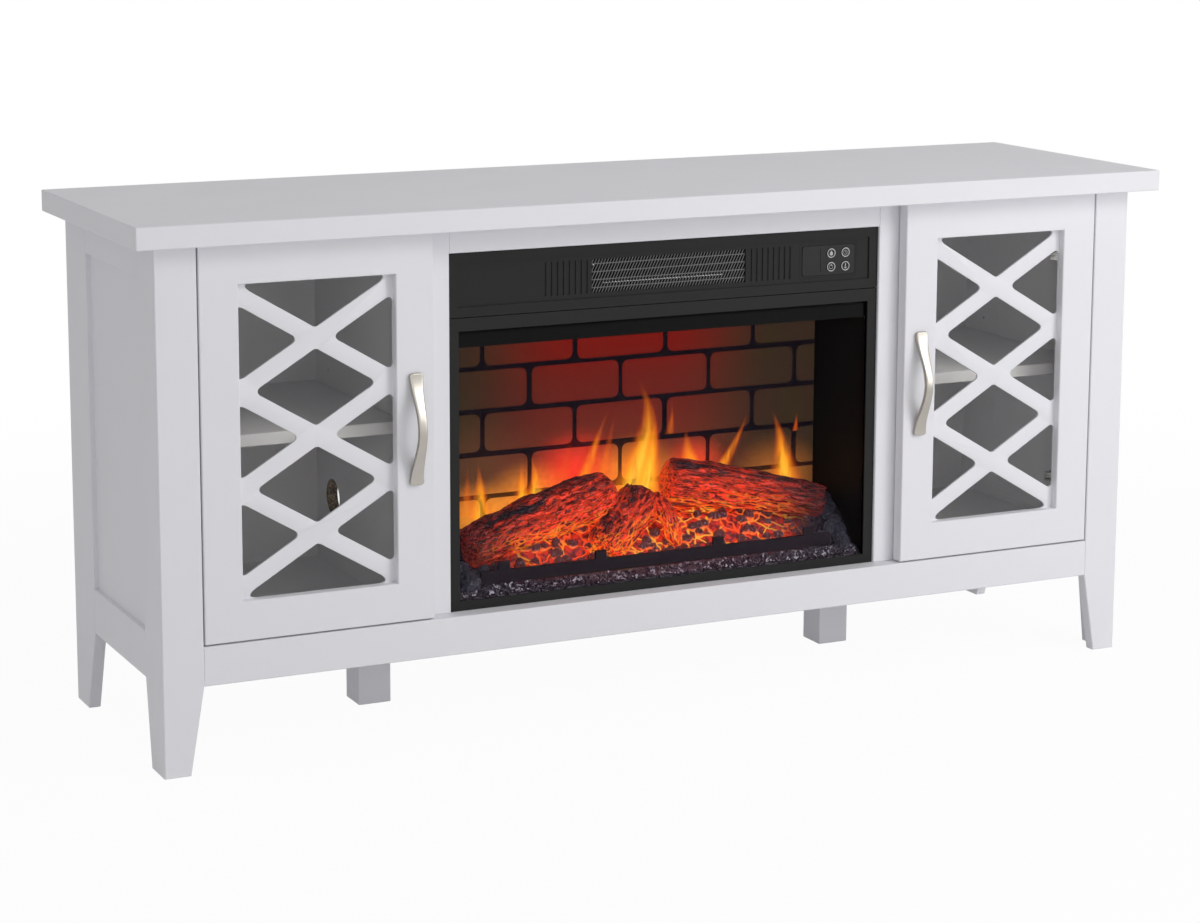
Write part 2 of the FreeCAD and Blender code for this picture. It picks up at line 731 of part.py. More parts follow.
def hinge_arm(z):
    """A folded arm with a riveted pin, hooked round the path of the door's edge to its plate on the strip."""
    low = z - ARM_HEIGHT / 2
    pivot = vec(PIVOT_X, PIVOT_Y, low)
    plate_x = LEG_IN - ARM_THICK / 2
    clear = SWEEP + ARM_CLEARANCE + ARM_THICK / 2
    last = math.degrees(math.acos((plate_x - PIVOT_X) / clear))
    step = (ARM_ANGLE - last) / (ARM_BENDS - 1)
    reach = clear / math.cos(math.radians(step / 2))
    last = math.degrees(math.acos((plate_x - PIVOT_X) / reach))
    points = [pivot]
    for index in range(ARM_BENDS):
        turn = math.radians(ARM_ANGLE + (last - ARM_ANGLE) * index / (ARM_BENDS - 1))
        points.append(pivot + vec(math.cos(turn), math.sin(turn), 0) * reach)
    points.append(vec(plate_x, FRONT_Y + ARM_PLATE_END, low))
    strip = bent_strip(points, ARM_THICK).extrude(vec(0, 0, ARM_HEIGHT))
    eye = round_bar(ARM_EYE, pivot, vec(0, 0, ARM_HEIGHT), SMALL_SIDES)
    plate = block(LEG_IN - ARM_THICK, LEG_IN, FRONT_Y + ARM_PLATE_END - ARM_PLATE_DEPTH, FRONT_Y + ARM_PLATE_END,
                  z - ARM_PLATE_HEIGHT / 2, z + ARM_PLATE_HEIGHT / 2)
    pin = rod(HINGE_PIN_RADIUS, vec(PIVOT_X, PIVOT_Y, z - HINGE_PIN_LENGTH / 2), vec(0, 0, HINGE_PIN_LENGTH))
    return fused([strip, eye, plate, pin])


def hinge_strip():
    """The filler behind a leg that the hinge arms are screwed to."""
    y0 = FRONT_Y + BOARD
    return block(LEG_IN, LEG_IN + BOARD, y0, y0 + HINGE_STRIP_DEPTH, FLOOR_Z, TOP_Z)


def at_hinges(make):
    """A hinge piece at each of the door's hinge heights."""
    return Part.makeCompound([make(z) for z in HINGE_HEIGHTS])


# Fireplace insert

def tray(z0, z1):
    """A folded front with a return all round, open behind."""
    shell = block(-INSERT_X, INSERT_X, INSERT_Y, CASE_Y, z0, z1)
    return shell.cut(block(-CASE_WALL, CASE_WALL, INSERT_Y + SHEET, CASE_Y, z0 + SHEET, z1 - SHEET))


def window_frame():
    frame = tray(FLOOR_Z, SEAM_Z - SEAM)
    window = block(-WINDOW_X, WINDOW_X, INSERT_Y, GLASS_Y, WINDOW_Z0, WINDOW_Z1)
    return frame.cut(window)


def window_glass():
    return block(-WINDOW_X - GLASS_LAP, WINDOW_X + GLASS_LAP, GLASS_Y, FIREBOX_Y,
                 WINDOW_Z0 - GLASS_LAP, WINDOW_Z1 + GLASS_LAP)


def rounded_plate(x, z, width, height, y0, y1):
    """A plate with rounded corners, seen from the front."""
    plate = block(x - width / 2, x + width / 2, y0, y1, z - height / 2, z + height / 2)
    corners = [edge for edge in plate.Edges if abs(edge.tangentAt(edge.FirstParameter).y) > 1 - TOLERANCE]
    return plate.makeFillet(CONTROL_CORNER, corners)


def upper_fascia():
    """The front above the window: a sunk field with mesh, slits and the control panel's place."""
    field_x = INSERT_X - FIELD_MARGIN
    z0 = SEAM_Z + FIELD_MARGIN
    z1 = INSERT_Z1 - FIELD_MARGIN
    fascia = tray(SEAM_Z, INSERT_Z1)
    fascia = fascia.fuse(block(-field_x - SHEET, field_x + SHEET, INSERT_Y, MESH_Y, z0 - SHEET, z1 + SHEET))
    cuts = [block(-field_x, field_x, INSERT_Y, FIELD_Y, z0, z1)]
    vent_z0 = FASCIA_MID - VENT_HEIGHT / 2
    vent_z1 = FASCIA_MID + VENT_HEIGHT / 2
    cuts.append(block(-MESH_WIDTH / 2, MESH_WIDTH / 2, FIELD_Y, MESH_Y, vent_z0, vent_z1))
    for index in range(SLIT_COUNT):
        x0 = MESH_WIDTH / 2 + SLIT_START + index * SLIT_PITCH
        slit = block(x0, x0 + SLIT_WIDTH, FIELD_Y, FIELD_Y + SLIT_DEPTH, vent_z0, vent_z1)
        cuts += [slit, mirrored(slit)]
    cuts.append(rounded_plate(CONTROL_X, FASCIA_MID, CONTROL_WIDTH + 2 * CONTROL_GAP,
                              CONTROL_HEIGHT + 2 * CONTROL_GAP, FIELD_Y, MESH_Y))
    return fascia.cut(cuts).removeSplitter()


def vent_mesh():
    """A sheet of leaning slots behind the fascia."""
    half = MESH_WIDTH / 2
    z0 = FASCIA_MID - VENT_HEIGHT / 2
    sheet = block(-half - MESH_LAP, half + MESH_LAP, MESH_Y, MESH_Y + MESH_THICK,
                  z0 - MESH_LAP, z0 + VENT_HEIGHT + MESH_LAP)
    pitch_x = MESH_WIDTH / MESH_COLUMNS
    pitch_z = VENT_HEIGHT / MESH_ROWS
    half_x = (pitch_x - MESH_WIRE) / 2
    half_z = (pitch_z - MESH_WIRE) / 2
    lean = half_z * MESH_LEAN
    holes = []
    for row in range(MESH_ROWS):
        for column in range(MESH_COLUMNS):
            x = -half + (column + 0.5) * pitch_x
            z = z0 + (row + 0.5) * pitch_z
            holes.append(outline(
                vec(x - half_x - lean, MESH_Y, z - half_z),
                vec(x + half_x - lean, MESH_Y, z - half_z),
                vec(x + half_x + lean, MESH_Y, z + half_z),
                vec(x - half_x + lean, MESH_Y, z + half_z),
            ).extrude(vec(0, MESH_THICK, 0)))
    return sheet.cut(holes)


def button_places():
    """The middle of each button, in rows from the top left."""
    places = []
    for rise in (1, -1):
        for side in (-1, 1):
            places.append((CONTROL_X + BUTTON_BLOCK_X + side * BUTTON_PITCH_X / 2,
                           FASCIA_MID + rise * BUTTON_PITCH_Z / 2))
    return places


def control_panel():
    """The plate round the buttons, with a blank display and posts for the circuit board."""
    plate = rounded_plate(CONTROL_X, FASCIA_MID, CONTROL_WIDTH, CONTROL_HEIGHT, CONTROL_Y, CONTROL_BACK)
    lap = CONTROL_GAP + CONTROL_LAP
    half_x = CONTROL_WIDTH / 2
    half_z = CONTROL_HEIGHT / 2
    flange = block(CONTROL_X - half_x - lap, CONTROL_X + half_x + lap, MESH_Y, CONTROL_BACK,
                   FASCIA_MID - half_z - lap, FASCIA_MID + half_z + lap)
    posts = []
    for x in (CONTROL_X - half_x, CONTROL_X + half_x - POST_SIZE):
        for z in (FASCIA_MID - half_z, FASCIA_MID + half_z - POST_SIZE):
            posts.append(block(x, x + POST_SIZE, CONTROL_BACK, CIRCUIT_Y, z, z + POST_SIZE))
    panel = fused([plate, flange] + posts)
    display_x = CONTROL_X - CONTROL_WIDTH / 2 + (CONTROL_HEIGHT - DISPLAY_HEIGHT) / 2
    display = block(display_x, display_x + DISPLAY_WIDTH, CONTROL_Y, CONTROL_Y + DISPLAY_SINK,
                    FASCIA_MID - DISPLAY_HEIGHT / 2, FASCIA_MID + DISPLAY_HEIGHT / 2)
    holes = [display]
    for x, z in button_places():
        depth = vec(0, CONTROL_BACK - CONTROL_Y, 0)
        holes.append(round_bar(BUTTON_RADIUS + BUTTON_GAP, vec(x, CONTROL_Y, z), depth, BUTTON_SIDES))
    return panel.cut(holes)


def button(x, z):
    """A round key with a collar behind the plate and a stem that meets its switch."""
    collar_y = CONTROL_BACK + BUTTON_GAP
    stem_y = collar_y + BUTTON_COLLAR_THICK
    cap_y = CONTROL_Y - BUTTON_PROUD
    cap = round_bar(BUTTON_RADIUS, vec(x, cap_y, z), vec(0, collar_y - cap_y, 0), BUTTON_SIDES)
    reach = BUTTON_RADIUS + BUTTON_COLLAR
    collar = block(x - reach, x + reach, collar_y, stem_y, z - reach, z + reach)
    half = BUTTON_STEM_SIZE / 2
    stem = block(x - half, x + half, stem_y, BUTTON_BACK, z - half, z + half)
    return fused([cap, collar, stem])


def control_board():
    """The circuit board on its posts, with a switch behind each button."""
    board = block(CONTROL_X - CONTROL_WIDTH / 2, CONTROL_X + CONTROL_WIDTH / 2, CIRCUIT_Y,
                  CIRCUIT_Y + CIRCUIT_BOARD, FASCIA_MID - CONTROL_HEIGHT / 2, FASCIA_MID + CONTROL_HEIGHT / 2)
    half = SWITCH_SIZE / 2
    switches = [block(x - half, x + half, SWITCH_Y, CIRCUIT_Y, z - half, z + half) for x, z in button_places()]
    return fused([board] + switches)


def insert_case():
    """The sheet case, open in front and behind, with the spindle's bearing on its left wall."""
    case = block(-INSERT_X, INSERT_X, CASE_Y, COVER_Y, FLOOR_Z, INSERT_Z1)
    case = case.cut(block(-CASE_WALL, CASE_WALL, CASE_Y, COVER_Y, CASE_FLOOR, INSERT_Z1 - SHEET))
    start = vec(-CASE_WALL, SPINDLE_Y, SPINDLE_Z)
    boss = round_bar(BEARING_RADIUS, start, vec(BEARING_LENGTH, 0, 0), SMALL_SIDES)
    bore = round_bar(SPINDLE_ROD + RUNNING_CLEARANCE, start, vec(BEARING_LENGTH, 0, 0), SMALL_SIDES)
    return fused([case, boss]).cut(bore)


def insert_back_cover():
    """The rear plate, with vent slots behind the heater and a hole for the mains inlet."""
    cover = block(-INSERT_X, INSERT_X, COVER_Y, COVER_Y + SHEET, FLOOR_Z, INSERT_Z1)
    cuts = []
    slot_z = INSERT_Z1 - COVER_SLOT_DROP
    for index in range(COVER_SLOTS):
        x = (index - (COVER_SLOTS - 1) / 2) * COVER_SLOT_PITCH
        cuts.append(block(x - COVER_SLOT_WIDTH / 2, x + COVER_SLOT_WIDTH / 2, COVER_Y, COVER_Y + SHEET,
                          slot_z - COVER_SLOT_HEIGHT, slot_z))
    cuts.append(inlet_body(INLET_GAP, COVER_Y, COVER_Y + SHEET))
    return cover.cut(cuts)


def inlet_body(grow, y0, y1):
    """A block of the inlet's outline, grown on every side."""
    return block(INLET_X - INLET_WIDTH / 2 - grow, INLET_X + INLET_WIDTH / 2 + grow, y0, y1,
                 INLET_Z - INLET_HEIGHT / 2 - grow, INLET_Z + INLET_HEIGHT / 2 + grow)


def mains_inlet():
    """A flanged socket with three pins, set into the rear plate."""
    back = COVER_Y + SHEET
    flange = inlet_body(INLET_FLANGE, back, back + SHEET)
    body = inlet_body(0, back - INLET_DEPTH, back + SHEET)
    floor_y = back - INLET_DEPTH + INLET_WALL
    socket = fused([flange, body]).cut(inlet_body(-INLET_WALL, floor_y, back + SHEET))
    pins = []
    for index in (-1, 0, 1):
        x = INLET_X + index * INLET_PIN_PITCH
        pins.append(block(x - INLET_PIN / 2, x + INLET_PIN / 2, floor_y, floor_y + INLET_PIN_LENGTH,
                          INLET_Z - INLET_PIN, INLET_Z + INLET_PIN))
    return fused([socket] + pins)


def firebox_liner():
    """One folded sheet: both side walls, the roof and a valance behind the glass."""
    outer = WINDOW_X + SHEET
    shell = block(-outer, outer, FIREBOX_Y, SCREEN_Y, CASE_FLOOR, PARTITION_Z)
    shell = shell.cut(block(-WINDOW_X, WINDOW_X, FIREBOX_Y, SCREEN_Y, CASE_FLOOR, PARTITION_Z - SHEET))
    valance = block(-WINDOW_X, WINDOW_X, FIREBOX_Y, FIREBOX_Y + SHEET, WINDOW_Z1 - VALANCE_DROP,
                    PARTITION_Z - SHEET)
    return fused([shell, valance])


def brick_screen():
    """The back of the firebox, a panel of bricks in running bond."""
    outer = WINDOW_X + SHEET
    screen = block(-outer, outer, SCREEN_Y, SCREEN_Y + SCREEN_THICK, CASE_FLOOR, PARTITION_Z)
    grooves = []
    courses = int((PARTITION_Z - CASE_FLOOR) / BRICK_HEIGHT) + 2
    joints = int(2 * outer / BRICK_LENGTH) + 2
    top = CASE_FLOOR + BRICK_TOP_COURSE + BRICK_HEIGHT
    for course in range(courses):
        z1 = top - course * BRICK_HEIGHT
        z0 = z1 - BRICK_HEIGHT
        grooves.append(block(-outer, outer, SCREEN_Y, SCREEN_Y + MORTAR_DEPTH, z0 - MORTAR / 2, z0 + MORTAR / 2))
        first = BRICK_FIRST_JOINT + (course % 2) * BRICK_LENGTH / 2
        for joint in range(-joints, joints):
            x = first + joint * BRICK_LENGTH
            if abs(x) < outer:
                grooves.append(block(x - MORTAR / 2, x + MORTAR / 2, SCREEN_Y, SCREEN_Y + MORTAR_DEPTH, z0, z1))
    return screen.cut(grooves)


# Log set

def bed_profile(inset, x):
    """Side outline of the ember bed at a given inset from its outer face."""
    def at(distance, rise):
        return vec(x, SCREEN_Y - distance, CASE_FLOOR + rise)
    front = SCREEN_Y - FIREBOX_Y - BED_GAP - inset
    seat_back = GRATE_DISTANCE - GRATE_SEAT_DEPTH / 2
    seat_front = GRATE_DISTANCE + GRATE_SEAT_DEPTH / 2
    low = GRATE_SEAT - inset
    high = EMBER_HEIGHT - inset
    middle = (EMBER_CREST + seat_back) / 2
    return outline(
        at(BED_GAP + inset, 0),
        at(BED_GAP + inset, high),
        (at(EMBER_CREST - inset, high), at(middle, (high + low) / 2 + inset / 2 + BED_WALL - inset),
         at(seat_back - inset, low)),
        at(seat_front - inset, low),
        at(front, low - GRAVEL_FALL),
        at(front, 0),
    )


def log(start, end, start_radius, end_radius, grow):
    """A log of flat bark faces round a gently bent line, grown by a clearance."""
    axis = end - start
    side = axis.cross(vec(0, 0, 1)).normalize()
    rise = side.cross(axis).normalize()
    rings = []
    for index in range(LOG_SECTIONS):
        share = index / (LOG_SECTIONS - 1)
        arch = math.sin(math.pi * share)
        centre = start + axis * share + vec(0, 0, LOG_BEND * arch)
        radius = start_radius + (end_radius - start_radius) * share + LOG_SWELL * arch + grow
        corners = []
        for corner in range(LOG_SIDES):
            turn = 2 * math.pi * corner / LOG_SIDES
            reach = radius + BARK_RIDGE * (-1) ** corner
            corners.append(centre + side * (reach * math.cos(turn)) + rise * (reach * math.sin(turn)))
        rings.append(corners)
    return skinned(rings)


def log_shapes(grow):
    """The left, centre and right logs."""
    def at(x, distance, rise):
        return vec(x, SCREEN_Y - distance, CASE_FLOOR + rise)
    reach = WINDOW_X - LOG_SIDE_GAP
    left_outer = at(-reach, LEFT_OUTER_DISTANCE, LEFT_OUTER_RISE)
    left_inner = at(LEFT_INNER_X, LEFT_INNER_DISTANCE, LEFT_INNER_RISE)
    center_front = at(CENTER_FRONT_X, CENTER_FRONT_DISTANCE, CENTER_FRONT_RISE)
    center_back = at(CENTER_BACK_X, CENTER_BACK_DISTANCE, CENTER_BACK_RISE)
    right_inner = at(RIGHT_INNER_X, RIGHT_INNER_DISTANCE, RIGHT_INNER_RISE)
    right_outer = at(reach, RIGHT_OUTER_DISTANCE, RIGHT_OUTER_RISE)
    return [
        log(left_outer, left_inner, LEFT_OUTER_RADIUS, LEFT_INNER_RADIUS, grow),
        log(center_front, center_back, CENTER_FRONT_RADIUS, CENTER_BACK_RADIUS, grow),
        log(right_inner, right_outer, RIGHT_INNER_RADIUS, RIGHT_OUTER_RADIUS, grow),
    ]


def logs():
    return Part.makeCompound(log_shapes(0))


def ember_bed():
    """The moulded bed of embers and gravel, hollow below, with seats for the logs."""
    outer = WINDOW_X - BED_GAP
    inner = outer - BED_WALL
    bed = bed_profile(0, -outer).extrude(vec(2 * outer, 0, 0))
    hollow = bed_profile(BED_WALL, -inner).extrude(vec(2 * inner, 0, 0))
    return bed.cut([hollow] + log_shapes(LOG_SEAT))


def grate_bar():
    """The bar in front of the embers, with upright tabs."""
    y0 = SCREEN_Y - GRATE_DISTANCE - GRATE_THICK / 2
    y1 = y0 + GRATE_THICK
    z0 = CASE_FLOOR + GRATE_SEAT
    z1 = z0 + GRATE_HEIGHT
    half = WINDOW_X - GRATE_END_GAP
    pieces = [block(-half, half, y0, y1, z0, z1)]
    for x in (-GRATE_TAB_OUTER, -GRATE_TAB_INNER, GRATE_TAB_INNER, GRATE_TAB_OUTER):
        pieces.append(block(x - GRATE_TAB_WIDTH / 2, x + GRATE_TAB_WIDTH / 2, y0, y1, z1, z1 + GRATE_TAB_HEIGHT))
    return fused(pieces)


# Flame drive and lights

def flame_spindle():
    """The turning rod with bright vanes that throws the flames on the screen."""
    start = -CASE_WALL + SPINDLE_END_GAP
    end = CASE_WALL - MOTOR_LENGTH + MOTOR_SHAFT_DEPTH - SPINDLE_END_GAP
    axis = vec(1, 0, 0)
    pieces = [rod(SPINDLE_ROD, vec(start, SPINDLE_Y, SPINDLE_Z), vec(end - start, 0, 0))]
    first = -CASE_WALL + BEARING_LENGTH + VANE_LENGTH
    last = CASE_WALL - MOTOR_LENGTH - VANE_LENGTH
    for index in range(VANE_COUNT):
        x = first + (last - first) * index / (VANE_COUNT - 1) - VANE_LENGTH / 2
        vane = block(x, x + VANE_LENGTH, SPINDLE_Y - VANE_REACH, SPINDLE_Y + VANE_REACH,
                     SPINDLE_Z - VANE_THICK / 2, SPINDLE_Z + VANE_THICK / 2)
        vane.rotate(vec(x, SPINDLE_Y, SPINDLE_Z), axis, index * VANE_TWIST)
        pieces.append(vane)
    return fused(pieces)


def spindle_motor():
    """The slow motor on the right wall that turns the spindle."""
    face = CASE_WALL - MOTOR_LENGTH
    half = MOTOR_SIZE / 2
    motor = block(face, CASE_WALL, SPINDLE_Y - half, SPINDLE_Y + half, SPINDLE_Z - half, SPINDLE_Z + half)
    bore = round_bar(SPINDLE_ROD + RUNNING_CLEARANCE, vec(face, SPINDLE_Y, SPINDLE_Z), vec(MOTOR_SHAFT_DEPTH, 0, 0),
                     SMALL_SIDES)
    return motor.cut(bore)


def light_strip():
    """The board of lamps on the case floor under the embers."""
    y = SCREEN_Y - LIGHT_DISTANCE
    top = CASE_FLOOR + CIRCUIT_BOARD
    half = LIGHT_LENGTH / 2
    pieces = [block(-half, half, y - LIGHT_WIDTH / 2, y + LIGHT_WIDTH / 2, CASE_FLOOR, top)]
    for index in range(LED_COUNT):
        x = (index - (LED_COUNT - 1) / 2) * LIGHT_LENGTH / LED_COUNT
        pieces.append(block(x - LED_SIZE / 2, x + LED_SIZE / 2, y - LED_SIZE / 2, y + LED_SIZE / 2,
                            top, top + LED_HEIGHT))
    return fused(pieces)


# Heater and blower

def duct_outline(radius, x):
    """Side outline of the duct: open in front, folded round the back of the wheel."""
    reach = radius / math.cos(math.pi / 8)
    corners = [vec(x, DUCT_Y, FASCIA_MID + radius)]
    for index in range(4):
        turn = math.pi * (3 - 2 * index) / 8
        corners.append(vec(x, BLOWER_Y + reach * math.cos(turn), FASCIA_MID + reach * math.sin(turn)))
    return outline(*(corners + [vec(x, DUCT_Y, FASCIA_MID - radius)]))


def blower_housing():
    """A duct that wraps the wheel and opens at the mesh, on two feet above the firebox roof."""
    half = DUCT_WIDTH / 2
    outer = DUCT_RADIUS + DUCT_SHEET
    shell = duct_outline(outer, -half).extrude(vec(DUCT_WIDTH, 0, 0))
    shell = shell.cut(duct_outline(DUCT_RADIUS, -half).extrude(vec(DUCT_WIDTH, 0, 0)))
    cuts = []
    pitch = DUCT_WIDTH / INTAKE_SLOTS
    for index in range(INTAKE_SLOTS):
        x = (index - (INTAKE_SLOTS - 1) / 2) * pitch
        cuts.append(block(x - INTAKE_WIDTH / 2, x + INTAKE_WIDTH / 2, BLOWER_Y, BLOWER_Y + outer,
                          FASCIA_MID - INTAKE_HEIGHT / 2, FASCIA_MID + INTAKE_HEIGHT / 2))
    pieces = [shell.cut(cuts)]
    for x in (-half - DUCT_SHEET, half):
        cheek = duct_outline(outer, x).extrude(vec(DUCT_SHEET, 0, 0))
        foot = block(x, x + DUCT_SHEET, BLOWER_Y - HOUSING_FOOT, BLOWER_Y + HOUSING_FOOT,
                     PARTITION_Z, FASCIA_MID)
        bore = round_bar(BLOWER_SHAFT + RUNNING_CLEARANCE, vec(x, BLOWER_Y, FASCIA_MID),
                         vec(DUCT_SHEET, 0, 0), SMALL_SIDES)
        pieces.append(fused([cheek, foot]).cut(bore))
    return fused(pieces)


def blower_wheel():
    """A long drum of blades between two discs on a through shaft."""
    half = DUCT_WIDTH / 2 - WHEEL_SIDE_GAP
    axis = vec(1, 0, 0)
    centre = vec(0, BLOWER_Y, FASCIA_MID)
    start = -DUCT_WIDTH / 2 - DUCT_SHEET - BLOWER_SHAFT_END
    end = DUCT_WIDTH / 2 + DUCT_SHEET + BLOWER_SHAFT_DEPTH - BLOWER_SHAFT_END
    pieces = [rod(BLOWER_SHAFT, vec(start, BLOWER_Y, FASCIA_MID), vec(end - start, 0, 0))]
    for x in (-half, half - WHEEL_DISC):
        pieces.append(round_bar(WHEEL_RADIUS, vec(x, BLOWER_Y, FASCIA_MID), vec(WHEEL_DISC, 0, 0), WHEEL_BLADES))
    reach = WHEEL_RADIUS - BLADE_WIDTH / 2 - BLADE_THICK
    for index in range(WHEEL_BLADES):
        blade = block(-half, half, -BLADE_WIDTH / 2, BLADE_WIDTH / 2, -BLADE_THICK / 2, BLADE_THICK / 2)
        blade.rotate(vec(0, 0, 0), axis, BLADE_PITCH)
        blade.translate(centre + vec(0, reach, 0))
        blade.rotate(centre, axis, index * 360 / WHEEL_BLADES)
        pieces.append(blade)
    return fused(pieces)


def blower_motor():
    """The motor on the right cheek of the housing."""
    face = DUCT_WIDTH / 2 + DUCT_SHEET
    half = BLOWER_MOTOR_SIZE / 2
    motor = block(face, face + BLOWER_MOTOR_LENGTH, BLOWER_Y - half, BLOWER_Y + half, FASCIA_MID - half,
                  FASCIA_MID + half)
    bore = round_bar(BLOWER_SHAFT + RUNNING_CLEARANCE, vec(face, BLOWER_Y, FASCIA_MID),
                     vec(BLOWER_SHAFT_DEPTH, 0, 0), SMALL_SIDES)
    return motor.cut(bore)


def heater_element():
    """The finned heating block across the mouth of the duct."""
    half = DUCT_WIDTH / 2
    y0 = DUCT_Y + HEATER_SETBACK
    y1 = y0 + HEATER_DEPTH
    heater = block(-half, half, y0, y1, FASCIA_MID - DUCT_RADIUS, FASCIA_MID + DUCT_RADIUS)
    pitch = DUCT_WIDTH / HEATER_FINS
    slots = []
    for index in range(HEATER_FINS):
        x = (index - (HEATER_FINS - 1) / 2) * pitch
        slots.append(block(x - HEATER_FIN_GAP / 2, x + HEATER_FIN_GAP / 2, y0, y1,
                           FASCIA_MID - DUCT_RADIUS + HEATER_RIM, FASCIA_MID + DUCT_RADIUS - HEATER_RIM))
    return heater.cut(slots)


def both(name, shape):
    """The right and left nodes of a piece that comes in two hands."""
    return {"right_" + name: shape, "left_" + name: mirrored(shape)}


def build():
    """Every node by its name."""
    nodes = {
        "top_panel": top_panel(),
        "bottom_panel": bottom_panel(),
        "front_rail": front_rail(),
        "surround_stiles": pair(surround_stile()),
        "header_rail": header_rail(),
        "back_stretcher": back_stretcher(),
        "center_feet": pair(center_foot()),
        "shelf_pins": shelf_pins(),
        "hinge_arms": pair(at_hinges(hinge_arm)),
        "hinge_strips": pair(hinge_strip()),
        "insert_case": insert_case(),
        "insert_back_cover": insert_back_cover(),
        "window_frame": window_frame(),
        "window_glass": window_glass(),
        "upper_fascia": upper_fascia(),
        "vent_mesh": vent_mesh(),
        "control_panel": control_panel(),
        "control_board": control_board(),
        "firebox_liner": firebox_liner(),
        "brick_screen": brick_screen(),
        "logs": logs(),
        "ember_bed": ember_bed(),
        "grate_bar": grate_bar(),
        "flame_spindle": flame_spindle(),
        "spindle_motor": spindle_motor(),
        "light_strip": light_strip(),
        "blower_housing": blower_housing(),
        "blower_wheel": blower_wheel(),
        "blower_motor": blower_motor(),
        "heater_element": heater_element(),
        "mains_inlet": mains_inlet(),
    }
    nodes.update(both("front_leg", front_leg()))
    nodes.update(both("back_leg", back_leg()))
    nodes.update(both("side_rails", side_rails()))
    nodes.update(both("side_panel", side_panel()))
    nodes.update(both("divider", divider()))
    nodes.update(both("back_panel", back_panel()))
    nodes.update(both("shelf", shelf()))
    nodes.update(both("door_frame", door_frame()))
    nodes.update(both("door_lattice", door_lattice()))
    nodes.update(both("door_glass", door_glass()))
    nodes.update(both("handle", handle()))
    nodes.update(both("hinge_cups", at_hinges(hinge_cup)))
    for name, place in zip(("flame", "timer", "power", "heat"), button_places()):
        nodes[name + "_button"] = button(*place)
    return nodes


os.makedirs("parts", exist_ok=True)
for node, solid in build().items():
    solid.exportStep("parts/" + node + ".step")
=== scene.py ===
"""Dresses the solids of a fireplace console: handles, keys, vent mesh, bricks, logs, embers and finishes.

Lengths are in metres. X runs along the front, Y from front to back, and Z up from the floor.
"""
import math
import random
from collections import namedtuple

import bmesh
import bpy
from bpy.props import FloatProperty, FloatVectorProperty, IntProperty, PointerProperty
from bpy.types import Operator, Panel, PropertyGroup
from mathutils import Euler, Matrix, Vector


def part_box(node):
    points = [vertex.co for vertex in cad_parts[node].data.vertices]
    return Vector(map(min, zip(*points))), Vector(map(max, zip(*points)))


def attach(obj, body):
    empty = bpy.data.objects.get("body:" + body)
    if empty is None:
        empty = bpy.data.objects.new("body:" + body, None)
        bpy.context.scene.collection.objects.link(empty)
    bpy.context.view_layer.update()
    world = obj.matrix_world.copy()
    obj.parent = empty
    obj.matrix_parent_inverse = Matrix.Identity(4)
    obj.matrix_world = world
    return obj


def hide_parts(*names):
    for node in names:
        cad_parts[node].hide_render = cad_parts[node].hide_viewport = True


bl_info = {
    "name": "Fireplace console",
    "version": (1, 0, 0),
    "blender": (4, 5, 0),
    "location": "View3D > Sidebar > Console",
    "description": "Models and finishes the visible pieces of a fireplace console round its solids",
    "category": "Object",
}

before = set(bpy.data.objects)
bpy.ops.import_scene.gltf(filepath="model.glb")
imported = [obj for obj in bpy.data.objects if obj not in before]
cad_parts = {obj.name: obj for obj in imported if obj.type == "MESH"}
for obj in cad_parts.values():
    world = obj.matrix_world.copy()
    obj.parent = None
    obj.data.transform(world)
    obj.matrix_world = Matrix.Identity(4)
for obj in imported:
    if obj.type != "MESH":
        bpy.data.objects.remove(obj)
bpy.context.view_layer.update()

# Which finish each kept solid has
NODE_FINISHES = {
    "rolled_white": (
        "top_panel", "front_rail", "surround_stiles", "header_rail", "center_feet", "left_front_leg",
        "right_front_leg", "left_back_leg", "right_back_leg", "left_side_rails", "right_side_rails",
        "left_side_panel", "right_side_panel", "left_door_frame", "right_door_frame",
    ),
    "white_board": (
        "bottom_panel", "back_stretcher", "left_back_panel", "right_back_panel", "left_shelf", "right_shelf",
        "hinge_strips",
    ),
    "drilled_board": ("left_divider", "right_divider"),
    "door_pane": ("left_door_glass", "right_door_glass"),
    "fire_pane": ("window_glass",),
    "black_powder": ("window_frame", "upper_fascia"),
    "black_liner": ("firebox_liner",),
    "grate_iron": ("grate_bar",),
    "dark_steel": ("blower_housing", "blower_wheel", "heater_element"),
    "panel_plastic": ("control_panel",),
    "moulded_black": ("mains_inlet", "spindle_motor", "blower_motor"),
    "galvanised": ("insert_case", "insert_back_cover"),
    "bright_plating": ("shelf_pins", "hinge_arms", "left_hinge_cups", "right_hinge_cups"),
    "creased_foil": ("flame_spindle",),
    "circuit_board": ("control_board", "light_strip"),
}

